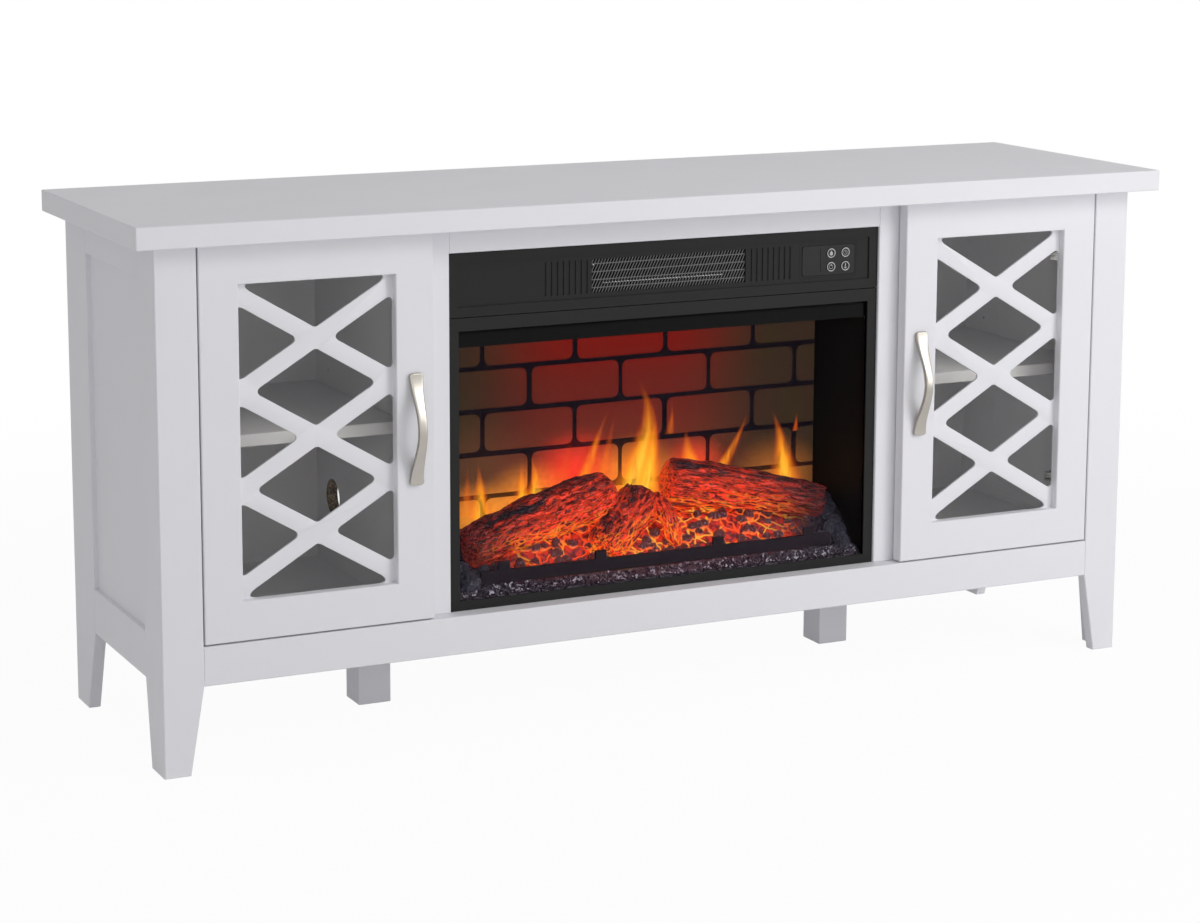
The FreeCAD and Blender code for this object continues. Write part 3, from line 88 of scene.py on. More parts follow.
# A tongue of flame on the screen: foot and tip heights, lean and bow sideways, width and warmth
Tongue = namedtuple("Tongue", "x foot tip lean bow width heat")
TONGUES = (
    Tongue(-0.234, 0.250, 0.326, 0.004, 0.001, 0.040, 0.30),
    Tongue(-0.211, 0.245, 0.332, -0.006, 0.002, 0.050, 0.75),
    Tongue(-0.150, 0.250, 0.324, 0.002, -0.003, 0.052, 0.75),
    Tongue(-0.129, 0.248, 0.330, -0.012, 0.005, 0.062, 0.95),
    Tongue(-0.095, 0.270, 0.352, 0.022, -0.004, 0.070, 0.12),
    Tongue(-0.066, 0.272, 0.398, 0.056, -0.005, 0.044, 0.55),
    Tongue(-0.036, 0.272, 0.388, 0.030, -0.003, 0.038, 0.30),
    Tongue(0.016, 0.246, 0.432, -0.004, 0.024, 0.112, 1.0),
    Tongue(0.034, 0.250, 0.392, 0.008, 0.006, 0.066, 0.9),
    Tongue(0.070, 0.338, 0.392, 0.001, 0.002, 0.020, 0.35),
    Tongue(0.108, 0.262, 0.350, -0.014, -0.002, 0.090, 0.8),
    Tongue(0.136, 0.262, 0.368, 0.058, 0.004, 0.046, 0.6),
    Tongue(0.254, 0.248, 0.368, -0.030, 0.006, 0.072, 0.8),
    Tongue(0.266, 0.326, 0.358, 0.000, 0.001, 0.014, 0.25),
)

# One log: ends of its middle line, radii there, how far its bark is drawn out and the seed of its lumps
Log = namedtuple("Log", "name start end start_radius end_radius stretch seed")
LOGS = (
    Log("left_log", (-0.2726, -0.0965, 0.224), (-0.041, -0.0585, 0.276), 0.026, 0.031, 3.0, 3),
    Log("center_log", (-0.080, -0.1080, 0.206), (0.012, -0.0580, 0.264), 0.024, 0.029, 3.0, 7),
    Log("root", (0.016, -0.0760, 0.272), (0.034, -0.1120, 0.204), 0.0085, 0.0100, 3.0, 17),
    Log("right_log", (0.040, -0.0585, 0.285), (0.2726, -0.0865, 0.236), 0.030, 0.021, 5.0, 11),
)

# Light of the fire on the bricks: place, reach and colour of each glow
Glow = namedtuple("Glow", "x z reach color")
GLOWS = (
    Glow(-0.070, 0.296, 0.085, (0.95, 0.020, 0.008)),
    Glow(0.016, 0.280, 0.085, (1.0, 0.30, 0.016)),
    Glow(0.112, 0.290, 0.060, (0.85, 0.05, 0.010)),
    Glow(-0.215, 0.248, 0.070, (0.95, 0.30, 0.020)),
    Glow(-0.140, 0.262, 0.080, (1.0, 0.30, 0.020)),
    Glow(-0.215, 0.315, 0.110, (0.065, 0.022, 0.009)),
    Glow(0.240, 0.258, 0.090, (0.45, 0.13, 0.014)),
)


class ConsoleSizes(PropertyGroup):
    """Sizes of the modelled pieces"""
    handle_tip: FloatProperty(name="Handle tip", description="Thickness of a handle at its ends",
                              default=0.0055, unit="LENGTH")
    handle_strap: FloatProperty(name="Handle strap", description="Thickness of a handle at its middle",
                                default=0.0075, unit="LENGTH")
    handle_waist: FloatProperty(name="Handle waist", description="Width of a handle at its middle",
                                default=0.011, unit="LENGTH")
    handle_foot: FloatProperty(name="Handle foot", description="Length of a handle that lies on the door",
                               default=0.004, unit="LENGTH")
    handle_edge: FloatProperty(name="Handle edge", description="Rounding of a handle's edges",
                               default=0.0018, unit="LENGTH")
    weave_columns: IntProperty(name="Mesh columns", description="Slots along the vent mesh", default=52)
    weave_rows: IntProperty(name="Mesh rows", description="Rows of slots in the vent mesh", default=5)
    weave_wire: FloatProperty(name="Mesh wire", description="Width of the mesh's wires", default=0.0011,
                              unit="LENGTH")
    door_rail: FloatProperty(name="Door rail", description="Width of a door's frame", default=0.050,
                             unit="LENGTH")
    lattice_bar: FloatProperty(name="Lattice bar", description="Width of the lattice's bars", default=0.022,
                               unit="LENGTH")
    lattice_corner: FloatProperty(name="Lattice corner", description="Radius of the lattice's corners",
                                  default=0.0065, unit="LENGTH")
    key_radius: FloatProperty(name="Key radius", description="Radius of a round key", default=0.0064,
                              unit="LENGTH")
    key_ring: FloatProperty(name="Key ring", description="Width of the pale ring round a key", default=0.0014,
                            unit="LENGTH")
    brick_length: FloatProperty(name="Brick length", description="Pitch of the bricks along a course",
                                default=0.136, unit="LENGTH")
    brick_height: FloatProperty(name="Brick height", description="Pitch of the courses", default=0.058,
                                unit="LENGTH")
    mortar: FloatProperty(name="Mortar", description="Width of the mortar joints", default=0.0068,
                          unit="LENGTH")
    coal_count: IntProperty(name="Coals", description="Loose coals among the embers", default=75)
    stone_count: IntProperty(name="Gravel stones", description="Stones in front of the grate", default=1900)
    screw_radius: FloatProperty(name="Screw head", description="Radius of a screw's head", default=0.0038,
                                unit="LENGTH")


class ConsoleColors(PropertyGroup):
    """Colours of the finishes"""
    paint: FloatVectorProperty(name="Paint", description="Cool white paint of the boards", subtype="COLOR",
                               default=(0.80, 0.797, 0.832))
    powder: FloatVectorProperty(name="Powder coat", description="Dark grey front of the fireplace",
                                subtype="COLOR", default=(0.020, 0.020, 0.0195))
    nickel: FloatVectorProperty(name="Nickel", description="Satin nickel of the handles", subtype="COLOR",
                                default=(0.45, 0.425, 0.385))
    # brick and ember are emitted colours: painted light on the bricks away from the fire, and the painted
    # glow of the brightest embers
    brick: FloatVectorProperty(name="Brick", description="Brick away from the fire", subtype="COLOR",
                               default=(0.034, 0.018, 0.012))
    ember: FloatVectorProperty(name="Ember", description="Glow of the hottest embers", subtype="COLOR",
                               default=(1.0, 0.41, 0.04))


# Modelling helpers

def rest():
    """Leaves edit mode and clears the selection."""
    if bpy.context.mode != "OBJECT":
        bpy.ops.object.mode_set(mode="OBJECT")
    bpy.ops.object.select_all(action="DESELECT")


def choose(*pieces):
    """Selects only these pieces and makes the first one active."""
    rest()
    for piece in pieces:
        piece.select_set(True)
    bpy.context.view_layer.objects.active = pieces[0]


def fix_place():
    """Works place, turn and scale of the selected pieces into their meshes."""
    bpy.ops.object.transform_apply(location=True, rotation=True, scale=True)


def begin(name, add, scale=(1, 1, 1), **settings):
    """A primitive at its size and place, kept in its mesh and open for editing."""
    rest()
    add(**settings)
    piece = bpy.context.active_object
    piece.scale = scale
    piece.name = name
    piece.data.name = name
    fix_place()
    bpy.ops.object.mode_set(mode="EDIT")
    return piece


def pick(kind, test):
    """Selects only the corners, edges or faces of the edited piece that pass a test."""
    bpy.ops.mesh.select_mode(type=kind)
    bpy.ops.mesh.select_all(action="DESELECT")
    mesh = bpy.context.edit_object.data
    shape = bmesh.from_edit_mesh(mesh)
    parts = {"VERT": shape.verts, "EDGE": shape.edges, "FACE": shape.faces}[kind]
    for part in parts:
        if test(part):
            part.select_set(True)
    shape.select_flush_mode()
    bmesh.update_edit_mesh(mesh, loop_triangles=False, destructive=False)


def extrude(x=0.0, y=0.0, z=0.0):
    """Draws the picked part of the edited piece out by a move."""
    bpy.ops.mesh.extrude_region_move(TRANSFORM_OT_translate={"value": (x, y, z)})


def near(a, b):
    """Whether two lengths are the same."""
    return abs(a - b) < 1e-5


def runs_along(edge, axis):
    """Whether an edge runs along an axis, 0 for X, 1 for Y and 2 for Z."""
    way = edge.verts[1].co - edge.verts[0].co
    return abs(way[axis]) > 0.99 * way.length


def apply(piece, kind, **settings):
    """Gives a piece a modifier and applies it."""
    choose(piece)
    modifier = piece.modifiers.new(kind.title(), kind)
    for key, value in settings.items():
        setattr(modifier, key, value)
    bpy.ops.object.modifier_apply(modifier=modifier.name)


def lumpy(piece, kind, size, strength, seed, **settings):
    """Pushes a surface in and out by a texture of one size."""
    texture = bpy.data.textures.new(piece.name + "_" + kind.lower(), kind)
    texture.noise_scale = size
    shift = bpy.data.objects.new("texture_place", None)
    shift.location = (seed, seed * 0.7, seed * 0.3)
    bpy.context.collection.objects.link(shift)
    bpy.context.view_layer.update()
    apply(piece, "DISPLACE", texture=texture, strength=strength, mid_level=0.5, texture_coords="OBJECT",
          texture_coords_object=shift, **settings)
    bpy.data.objects.remove(shift)


def copied(piece, name):
    """A copy of a piece with its own mesh."""
    copy = piece.copy()
    copy.data = piece.data.copy()
    copy.name = name
    copy.data.name = name
    bpy.context.collection.objects.link(copy)
    return copy


def joined(pieces, name):
    """Several pieces as one, with their places in the mesh."""
    choose(*pieces)
    fix_place()
    if len(pieces) > 1:
        bpy.ops.object.join()
    pieces[0].name = name
    pieces[0].data.name = name
    return pieces[0]


def scattered(masters, places, name):
    """Copies of a few modelled pieces, one at each place, as one piece."""
    rest()
    copies = []
    for index, place in enumerate(places):
        copy = copied(masters[index % len(masters)], name)
        copy.matrix_world = place
        copies.append(copy)
    rest()
    for master in masters:
        bpy.data.objects.remove(master)
    return joined(copies, name)


def turned_out(piece):
    """Makes every face of a piece point outwards."""
    choose(piece)
    bpy.ops.object.mode_set(mode="EDIT")
    bpy.ops.mesh.select_all(action="SELECT")
    bpy.ops.mesh.normals_make_consistent(inside=False)
    rest()


def twin(piece, name):
    """The same piece on the left of the console."""
    copy = copied(piece, name)
    copy.scale.x = -1
    choose(copy)
    fix_place()
    turned_out(copy)
    return copy


def settle(piece, body, slot, material, *nodes, angle=35.0):
    """Smooths a piece, gives it its finish, ties it to its body and hides the solids it stands for."""
    choose(piece)
    bpy.ops.object.shade_smooth_by_angle(angle=math.radians(angle))
    if material:
        piece.data.materials.append(finish(material))
    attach(piece, body)
    if nodes:
        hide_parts(*nodes)
    rest()


# Material helpers

def put(tree, kind, feeds=None, **settings):
    """Adds a node, sets it up and feeds its inputs with values or with other nodes' outputs."""
    node = tree.nodes.new("ShaderNode" + kind)
    for key, value in settings.items():
        setattr(node, key, value)
    for key, value in (feeds or {}).items():
        if isinstance(value, bpy.types.NodeSocket):
            tree.links.new(value, node.inputs[key])
        else:
            node.inputs[key].default_value = value
    return node


def calc(tree, operation, *values, clamp=False):
    """The result of a sum on values and outputs."""
    return put(tree, "Math", dict(enumerate(values)), operation=operation, use_clamp=clamp).outputs[0]


def product(tree, *values):
    """Values and outputs multiplied together."""
    result = values[0]
    for value in values[1:]:
        result = calc(tree, "MULTIPLY", result, value)
    return result


def apart(tree, value, middle):
    """How far a value lies from a middle one."""
    return calc(tree, "ABSOLUTE", calc(tree, "SUBTRACT", value, middle))


def flat_length(tree, across, along):
    """Length of a way given by its two parts."""
    return calc(tree, "SQRT", calc(tree, "MULTIPLY_ADD", across, across, product(tree, along, along)))


def scaled(tree, vector, level):
    """A colour or a place times a level."""
    return put(tree, "VectorMath", {0: vector, "Scale": level}, operation="SCALE").outputs[0]


def added(tree, first, second):
    """The sum of two colours or places."""
    return put(tree, "VectorMath", {0: first, 1: second}, operation="ADD").outputs[0]


def remap(tree, value, low, high, to_low=0.0, to_high=1.0):
    """A value moved smoothly from one range to another."""
    feeds = {"Value": value, "From Min": low, "From Max": high, "To Min": to_low, "To Max": to_high}
    return put(tree, "MapRange", feeds, interpolation_type="SMOOTHSTEP").outputs["Result"]


def mixed(tree, share, first, second):
    """Two colours mixed by a share."""
    node = put(tree, "Mix", data_type="RGBA")
    for index, value in ((0, share), (6, first), (7, second)):
        if isinstance(value, bpy.types.NodeSocket):
            tree.links.new(value, node.inputs[index])
        elif index == 0:
            node.inputs[index].default_value = value
        else:
            node.inputs[index].default_value = (*value, 1.0)
    return node.outputs[2]


def ramp(tree, value, *stops):
    """A colour ramp through stops of a place and a colour."""
    node = put(tree, "ValToRGB", {"Fac": value})
    elements = node.color_ramp.elements
    elements.remove(elements[1])
    elements[0].position = stops[0][0]
    elements[0].color = (*stops[0][1], 1.0)
    for place, color in stops[1:]:
        elements.new(place).color = (*color, 1.0)
    return node.outputs["Color"]


def object_place(tree):
    """The point on the piece, which is its place in the console."""
    return put(tree, "TexCoord").outputs["Object"]


def parted(tree, vector):
    """The three parts of a vector."""
    return put(tree, "SeparateXYZ", {0: vector}).outputs


def stretched(tree, vector, scale):
    """A place scaled on each axis, so that a pattern gets longer one way."""
    return put(tree, "Mapping", {"Vector": vector, "Scale": scale}).outputs[0]


def noise(tree, vector, scale, detail=3.0, roughness=0.55, distortion=0.0):
    """Cloudy noise between 0 and 1."""
    feeds = {"Vector": vector, "Scale": scale, "Detail": detail, "Roughness": roughness,
             "Distortion": distortion}
    return put(tree, "TexNoise", feeds).outputs[0]


def cracks(tree, vector, scale):
    """Distance from the borders of a net of cells."""
    feeds = {"Vector": vector, "Scale": scale}
    return put(tree, "TexVoronoi", feeds, feature="DISTANCE_TO_EDGE").outputs["Distance"]


def bump(tree, height, depth):
    """A surface normal from a height."""
    return put(tree, "Bump", {"Height": height, "Distance": depth, "Strength": 1.0}).outputs[0]


def group(name, inputs, outputs):
    """An empty shader group with named sockets."""
    tree = bpy.data.node_groups.new(name, "ShaderNodeTree")
    for label, kind, default in inputs:
        tree.interface.new_socket(label, in_out="INPUT", socket_type=kind).default_value = default
    for label, kind in outputs:
        tree.interface.new_socket(label, in_out="OUTPUT", socket_type=kind)
    return tree, tree.nodes.new("NodeGroupInput").outputs, tree.nodes.new("NodeGroupOutput").inputs


def surface_grain():
    """Group: a drifting tone, an uneven gloss and a fine grain, for paint, powder coat and plastic."""
    known = bpy.data.node_groups.get("surface_grain")
    if known:
        return known
    tree, given, result = group(
        "surface_grain",
        (("Color", "NodeSocketColor", (0.5, 0.5, 0.5, 1.0)), ("Drift", "NodeSocketFloat", 0.04),
         ("Gloss", "NodeSocketFloat", 0.4), ("Grain Scale", "NodeSocketFloat", 900.0)),
        (("Color", "NodeSocketColor"), ("Roughness", "NodeSocketFloat"), ("Height", "NodeSocketFloat")),
    )
    place = object_place(tree)
    drift = calc(tree, "SUBTRACT", noise(tree, place, 5.0, 4.0), 0.5)
    level = calc(tree, "MULTIPLY_ADD", drift, product(tree, given["Drift"], 2.0), 1.0)
    tree.links.new(scaled(tree, given["Color"], level), result["Color"])
    uneven = product(tree, calc(tree, "SUBTRACT", noise(tree, place, 14.0, 3.0), 0.5), 0.18)
    tree.links.new(calc(tree, "ADD", given["Gloss"], uneven, clamp=True), result["Roughness"])
    fine = noise(tree, place, given["Grain Scale"], 2.0)
    tree.links.new(fine, result["Height"])
    return tree


def edge_speckle():
    """Group: coarse chips of raw board, light and dark, for cut edges."""
    known = bpy.data.node_groups.get("edge_speckle")
    if known:
        return known
    tree, given, result = group(
        "edge_speckle", (("Chip Scale", "NodeSocketFloat", 420.0),),
        (("Color", "NodeSocketColor"), ("Height", "NodeSocketFloat")),
    )
    place = object_place(tree)
    cells = put(tree, "TexVoronoi", {"Vector": place, "Scale": given["Chip Scale"]}).outputs
    tone = parted(tree, cells["Color"])[0]
    tree.links.new(ramp(tree, tone, (0.0, (0.035, 0.018, 0.008)), (0.5, (0.13, 0.075, 0.038)),
                        (1.0, (0.30, 0.20, 0.11))), result["Color"])
    tree.links.new(cells["Distance"], result["Height"])
    return tree


def new_finish(name, **sockets):
    """A material with its shader, and the plain values of the shader's sockets."""
    material = bpy.data.materials.new(name)
    material.use_nodes = True
    tree = material.node_tree
    shader = tree.nodes["Principled BSDF"]
    for key, value in sockets.items():
        shader.inputs[key.replace("_", " ")].default_value = value
    return material, tree, shader.inputs


def grained(tree, color, drift, gloss, scale):
    """Outputs of the shared grain, for one finish."""
    node = put(tree, "Group", node_tree=surface_grain())
    node.inputs["Color"].default_value = (*color, 1.0)
    node.inputs["Drift"].default_value = drift
    node.inputs["Gloss"].default_value = gloss
    node.inputs["Grain Scale"].default_value = scale
    return node.outputs


def coated(name, color, gloss, scale, depth, drift, **sockets):
    """A painted, powder-coated or moulded surface."""
    material, tree, shader = new_finish(name, **sockets)
    grain = grained(tree, color, drift, gloss, scale)
    tree.links.new(grain["Color"], shader["Base Color"])
    tree.links.new(grain["Roughness"], shader["Roughness"])
    tree.links.new(bump(tree, grain["Height"], depth), shader["Normal"])
    return material


# Finishes

def rolled_white():
    """Satin white paint of the outer boards."""
    return coated("rolled_white", colors().paint, gloss=0.58, scale=520.0, depth=0.00006, drift=0.018,
                  Specular_IOR_Level=0.25)


def white_board():
    """Smoother white face of the inner boards."""
    return coated("white_board", [part * 0.97 for part in colors().paint], gloss=0.5, scale=900.0,
                  depth=0.00005, drift=0.02, Specular_IOR_Level=0.35)


def drilled_board():
    """White board with a raw edge inside the cable hole."""
    low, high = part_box("left_divider")
    hole_y = high.y - 0.061
    hole_z = low.z + 0.095
    hole_radius = 0.0253
    material, tree, shader = new_finish("drilled_board", Specular_IOR_Level=0.35)
    grain = grained(tree, [part * 0.97 for part in colors().paint], drift=0.02, gloss=0.5, scale=900.0)
    raw = put(tree, "Group", node_tree=edge_speckle()).outputs
    place = parted(tree, object_place(tree))
    back = calc(tree, "SUBTRACT", place[1], hole_y)
    rise = calc(tree, "SUBTRACT", place[2], hole_z)
    inside = calc(tree, "LESS_THAN", flat_length(tree, back, rise), hole_radius)
    tree.links.new(mixed(tree, inside, grain["Color"], raw["Color"]), shader["Base Color"])
    dullness = calc(tree, "MAXIMUM", grain["Roughness"], product(tree, inside, 0.85))
    tree.links.new(dullness, shader["Roughness"])
    tree.links.new(bump(tree, product(tree, raw["Height"], inside), 0.0008), shader["Normal"])
    return material


def black_powder():
    """Dark grey powder coat of the fireplace front."""
    return coated("black_powder", colors().powder, gloss=0.45, scale=1500.0, depth=0.00005, drift=0.08,
                  Specular_IOR_Level=0.12)


def black_liner():
    """Black lining, painted a shade greyer at the valance as painted light from the room that gets to it."""
    material, tree, shader = new_finish("black_liner", Specular_IOR_Level=0.06)
    grain = grained(tree, (0.0026, 0.0025, 0.0029), drift=0.2, gloss=0.6, scale=1100.0)
    height = parted(tree, object_place(tree))[2]
    # Painted light: the base colour turns greyer from the valance up.
    high = remap(tree, height, 0.500, 0.506)
    tree.links.new(mixed(tree, high, grain["Color"], (0.034, 0.034, 0.034)), shader["Base Color"])
    tree.links.new(grain["Roughness"], shader["Roughness"])
    tree.links.new(bump(tree, grain["Height"], 0.00008), shader["Normal"])
    return material


def grate_iron():
    """Dull iron of the grate bar."""
    return coated("grate_iron", (0.012, 0.008, 0.012), gloss=0.55, scale=1300.0, depth=0.0001,
                  drift=0.15, Specular_IOR_Level=0.06)


def dark_steel():
    """Blackened steel of the blower and heater."""
    return coated("dark_steel", (0.008, 0.008, 0.009), gloss=0.6, scale=1200.0, depth=0.00004, drift=0.2,
                  Specular_IOR_Level=0.1)


def mesh_wire():
    """Grey wire of the vent mesh."""
    return coated("mesh_wire", (0.11, 0.11, 0.108), gloss=0.38, scale=1500.0, depth=0.00002, drift=0.1,
                  Metallic=0.35)


def panel_plastic():
    """Smooth dark plastic of the control panel."""
    return coated("panel_plastic", [part * 0.8 for part in colors().powder], gloss=0.32, scale=2400.0,
                  depth=0.00002, drift=0.08, Specular_IOR_Level=0.2)


def moulded_black():
    """Plain black moulded plastic."""
    return coated("moulded_black", (0.009, 0.009, 0.0095), gloss=0.5, scale=1800.0, depth=0.00003,
                  drift=0.15, Specular_IOR_Level=0.2)


def key_face():
    """Glossy black face of a key."""
    return coated("key_face", (0.006, 0.006, 0.0065), gloss=0.34, scale=2600.0, depth=0.00001, drift=0.1,
                  Specular_IOR_Level=0.2)


def key_ring():
    """Pale ring round a key."""
    return coated("key_ring", (0.34, 0.34, 0.345), gloss=0.34, scale=2600.0, depth=0.00001, drift=0.05,
                  Metallic=0.5)


def key_icon():
    """Light grey print of a key's sign."""
    return coated("key_icon", (0.42, 0.42, 0.43), gloss=0.4, scale=2600.0, depth=0.00001, drift=0.06)


def brushed_nickel():
    """Nickel brushed along the handle."""
    material, tree, shader = new_finish("brushed_nickel", Metallic=1.0)
    place = object_place(tree)
    brushed = noise(tree, stretched(tree, place, (2600.0, 2600.0, 40.0)), 1.0, 3.0)
    cloudy = noise(tree, place, 60.0, 2.0)
    tone = remap(tree, cloudy, 0.2, 0.8, 0.0, 1.0)
    color = colors().nickel
    tree.links.new(mixed(tree, tone, [part * 0.94 for part in color], color), shader["Base Color"])
    tree.links.new(remap(tree, brushed, 0.2, 0.8, 0.31, 0.41), shader["Roughness"])
    tree.links.new(bump(tree, brushed, 0.00001), shader["Normal"])
    return material


def bright_plating():
    """Bright zinc plating with faint streaks."""
    material, tree, shader = new_finish("bright_plating", Metallic=1.0)
    place = object_place(tree)
    streak = noise(tree, stretched(tree, place, (120.0, 120.0, 900.0)), 1.0, 3.0)
    tree.links.new(ramp(tree, streak, (0.25, (0.46, 0.47, 0.48)), (0.8, (0.66, 0.66, 0.65))),
                   shader["Base Color"])
    tree.links.new(remap(tree, streak, 0.2, 0.8, 0.2, 0.34), shader["Roughness"])
    return material


def galvanised():
    """Galvanised sheet with its spangle."""
    material, tree, shader = new_finish("galvanised", Metallic=0.9)
    place = object_place(tree)
    cells = put(tree, "TexVoronoi", {"Vector": place, "Scale": 110.0}).outputs
    tone = parted(tree, cells["Color"])[0]
    tree.links.new(ramp(tree, tone, (0.0, (0.30, 0.31, 0.32)), (1.0, (0.48, 0.49, 0.50))),
                   shader["Base Color"])
    tree.links.new(remap(tree, tone, 0.0, 1.0, 0.32, 0.5), shader["Roughness"])
    return material


def creased_foil():
    """Thin bright metal with creases."""
    material, tree, shader = new_finish("creased_foil", Metallic=1.0)
    place = object_place(tree)
    crease = noise(tree, place, 180.0, 4.0, 0.6, 0.6)
    tree.links.new(ramp(tree, crease, (0.2, (0.55, 0.56, 0.58)), (0.8, (0.80, 0.80, 0.79))),
                   shader["Base Color"])
    tree.links.new(remap(tree, crease, 0.2, 0.8, 0.14, 0.26), shader["Roughness"])
    tree.links.new(bump(tree, crease, 0.0006), shader["Normal"])
    return material


def circuit_board():
    """Green lacquer over tracks."""
    material, tree, shader = new_finish("circuit_board", Roughness=0.35)
    place = object_place(tree)
    tracks = put(tree, "TexBrick", {"Vector": stretched(tree, place, (220.0, 220.0, 220.0)), "Scale": 1.0,
                                    "Mortar Size": 0.12}).outputs["Fac"]
    tree.links.new(mixed(tree, tracks, (0.008, 0.075, 0.028), (0.02, 0.15, 0.06)), shader["Base Color"])
    tree.links.new(bump(tree, tracks, 0.00004), shader["Normal"])
    return material


def glass(name, color, index, shade):
    """A pane that light also passes straight through, with faint streaks of wiping."""
    material, tree, shader = new_finish(name, Base_Color=(*color, 1.0), Transmission_Weight=1.0, IOR=index)
    streak = noise(tree, stretched(tree, object_place(tree), (9.0, 9.0, 2.0)), 1.0, 3.0)
    tree.links.new(remap(tree, streak, 0.3, 0.8, 0.0, 0.03), shader["Roughness"])
    passing = put(tree, "BsdfTransparent", {"Color": (*shade, 1.0)}).outputs[0]
    shadow = put(tree, "LightPath").outputs["Is Shadow Ray"]
    surface = tree.nodes["Principled BSDF"].outputs[0]
    both = put(tree, "MixShader", {0: shadow, 1: surface, 2: passing}).outputs[0]
    tree.links.new(both, tree.nodes["Material Output"].inputs["Surface"])
    return material


def door_pane():
    """Faintly tinted glass of the doors."""
    return glass("door_pane", (0.945, 0.935, 0.905), 1.22, (0.9, 0.9, 0.88))


def fire_pane():
    """Clear glass of the fire window."""
    return glass("fire_pane", (0.97, 0.97, 0.97), 1.07, (0.9, 0.9, 0.9))


def fire_glow(tree, place, strength):
    """Colour of the fire's light on a point of the bricks."""
    x, _, z = parted(tree, place)
    flatness = 1.25
    color = (0.0, 0.0, 0.0)
    for glow in GLOWS:
        across = calc(tree, "SUBTRACT", x, glow.x)
        rise = product(tree, calc(tree, "SUBTRACT", z, glow.z), flatness)
        share = product(tree, remap(tree, flat_length(tree, across, rise), glow.reach, 0.0), strength)
        color = added(tree, color, mixed(tree, share, (0.0, 0.0, 0.0), glow.color))
    return color


def brick_face():
    """Bricks whose whole look is painted light: they glow by emission as if lit from below by the flames, red
    in the middle and olive brown at the sides.
    """
    material, tree, shader = new_finish("brick_face", Roughness=0.85, Specular_IOR_Level=0.05,
                                        Emission_Strength=1.0)
    place = object_place(tree)
    x, _, z = parted(tree, place)
    aside = apart(tree, x, -0.006)
    cloudy = noise(tree, place, 16.0, 5.0)
    fine = noise(tree, place, 240.0, 4.0, 0.7)
    # Emitted colour, all painted light: olive brown at the sides, red towards the middle, deeper red on the
    # top courses, with the fire's glows added
    side_tone = mixed(tree, remap(tree, cloudy, 0.3, 0.7), colors().brick, (0.032, 0.021, 0.010))
    high_red = mixed(tree, remap(tree, z, 0.40, 0.48), (0.130, 0.012, 0.009), (0.170, 0.006, 0.004))
    middle = mixed(tree, remap(tree, z, 0.30, 0.40), (0.160, 0.028, 0.016), high_red)
    warm = mixed(tree, remap(tree, aside, 0.24, 0.07), side_tone, middle)
    lit = added(tree, warm, fire_glow(tree, place, 0.85))
    speck = remap(tree, fine, 0.3, 0.7, 0.88, 1.10)
    tree.links.new(scaled(tree, lit, speck), shader["Emission Color"])
    tree.links.new(mixed(tree, cloudy, (0.006, 0.002, 0.0015), (0.009, 0.004, 0.002)), shader["Base Color"])
    tree.links.new(bump(tree, fine, 0.0004), shader["Normal"])
    return material


def mortar():
    """Sunk joints, nearly black, with a breath of painted fire light, red in the middle."""
    material, tree, shader = new_finish("mortar", Roughness=0.9, Specular_IOR_Level=0.02,
                                        Emission_Strength=1.0)
    place = object_place(tree)
    rough = noise(tree, place, 320.0, 4.0, 0.7)
    deep = mixed(tree, rough, (0.002, 0.0015, 0.003), (0.005, 0.003, 0.005))
    # Painted light: a tenth of the fire's glow on the bricks, added to the joints' faint emission.
    tree.links.new(added(tree, deep, fire_glow(tree, place, 0.10)), shader["Emission Color"])
    tree.links.new(mixed(tree, rough, (0.002, 0.0015, 0.003), (0.005, 0.003, 0.004)), shader["Base Color"])
    tree.links.new(bump(tree, rough, 0.0006), shader["Normal"])
    return material


def shaken(tree, place, scale, reach):
    """A place pushed about by noise, so that a pattern on it gets crooked."""
    push = put(tree, "TexNoise", {"Vector": place, "Scale": scale, "Detail": 2.0}).outputs["Color"]
    return added(tree, place, scaled(tree, push, reach))


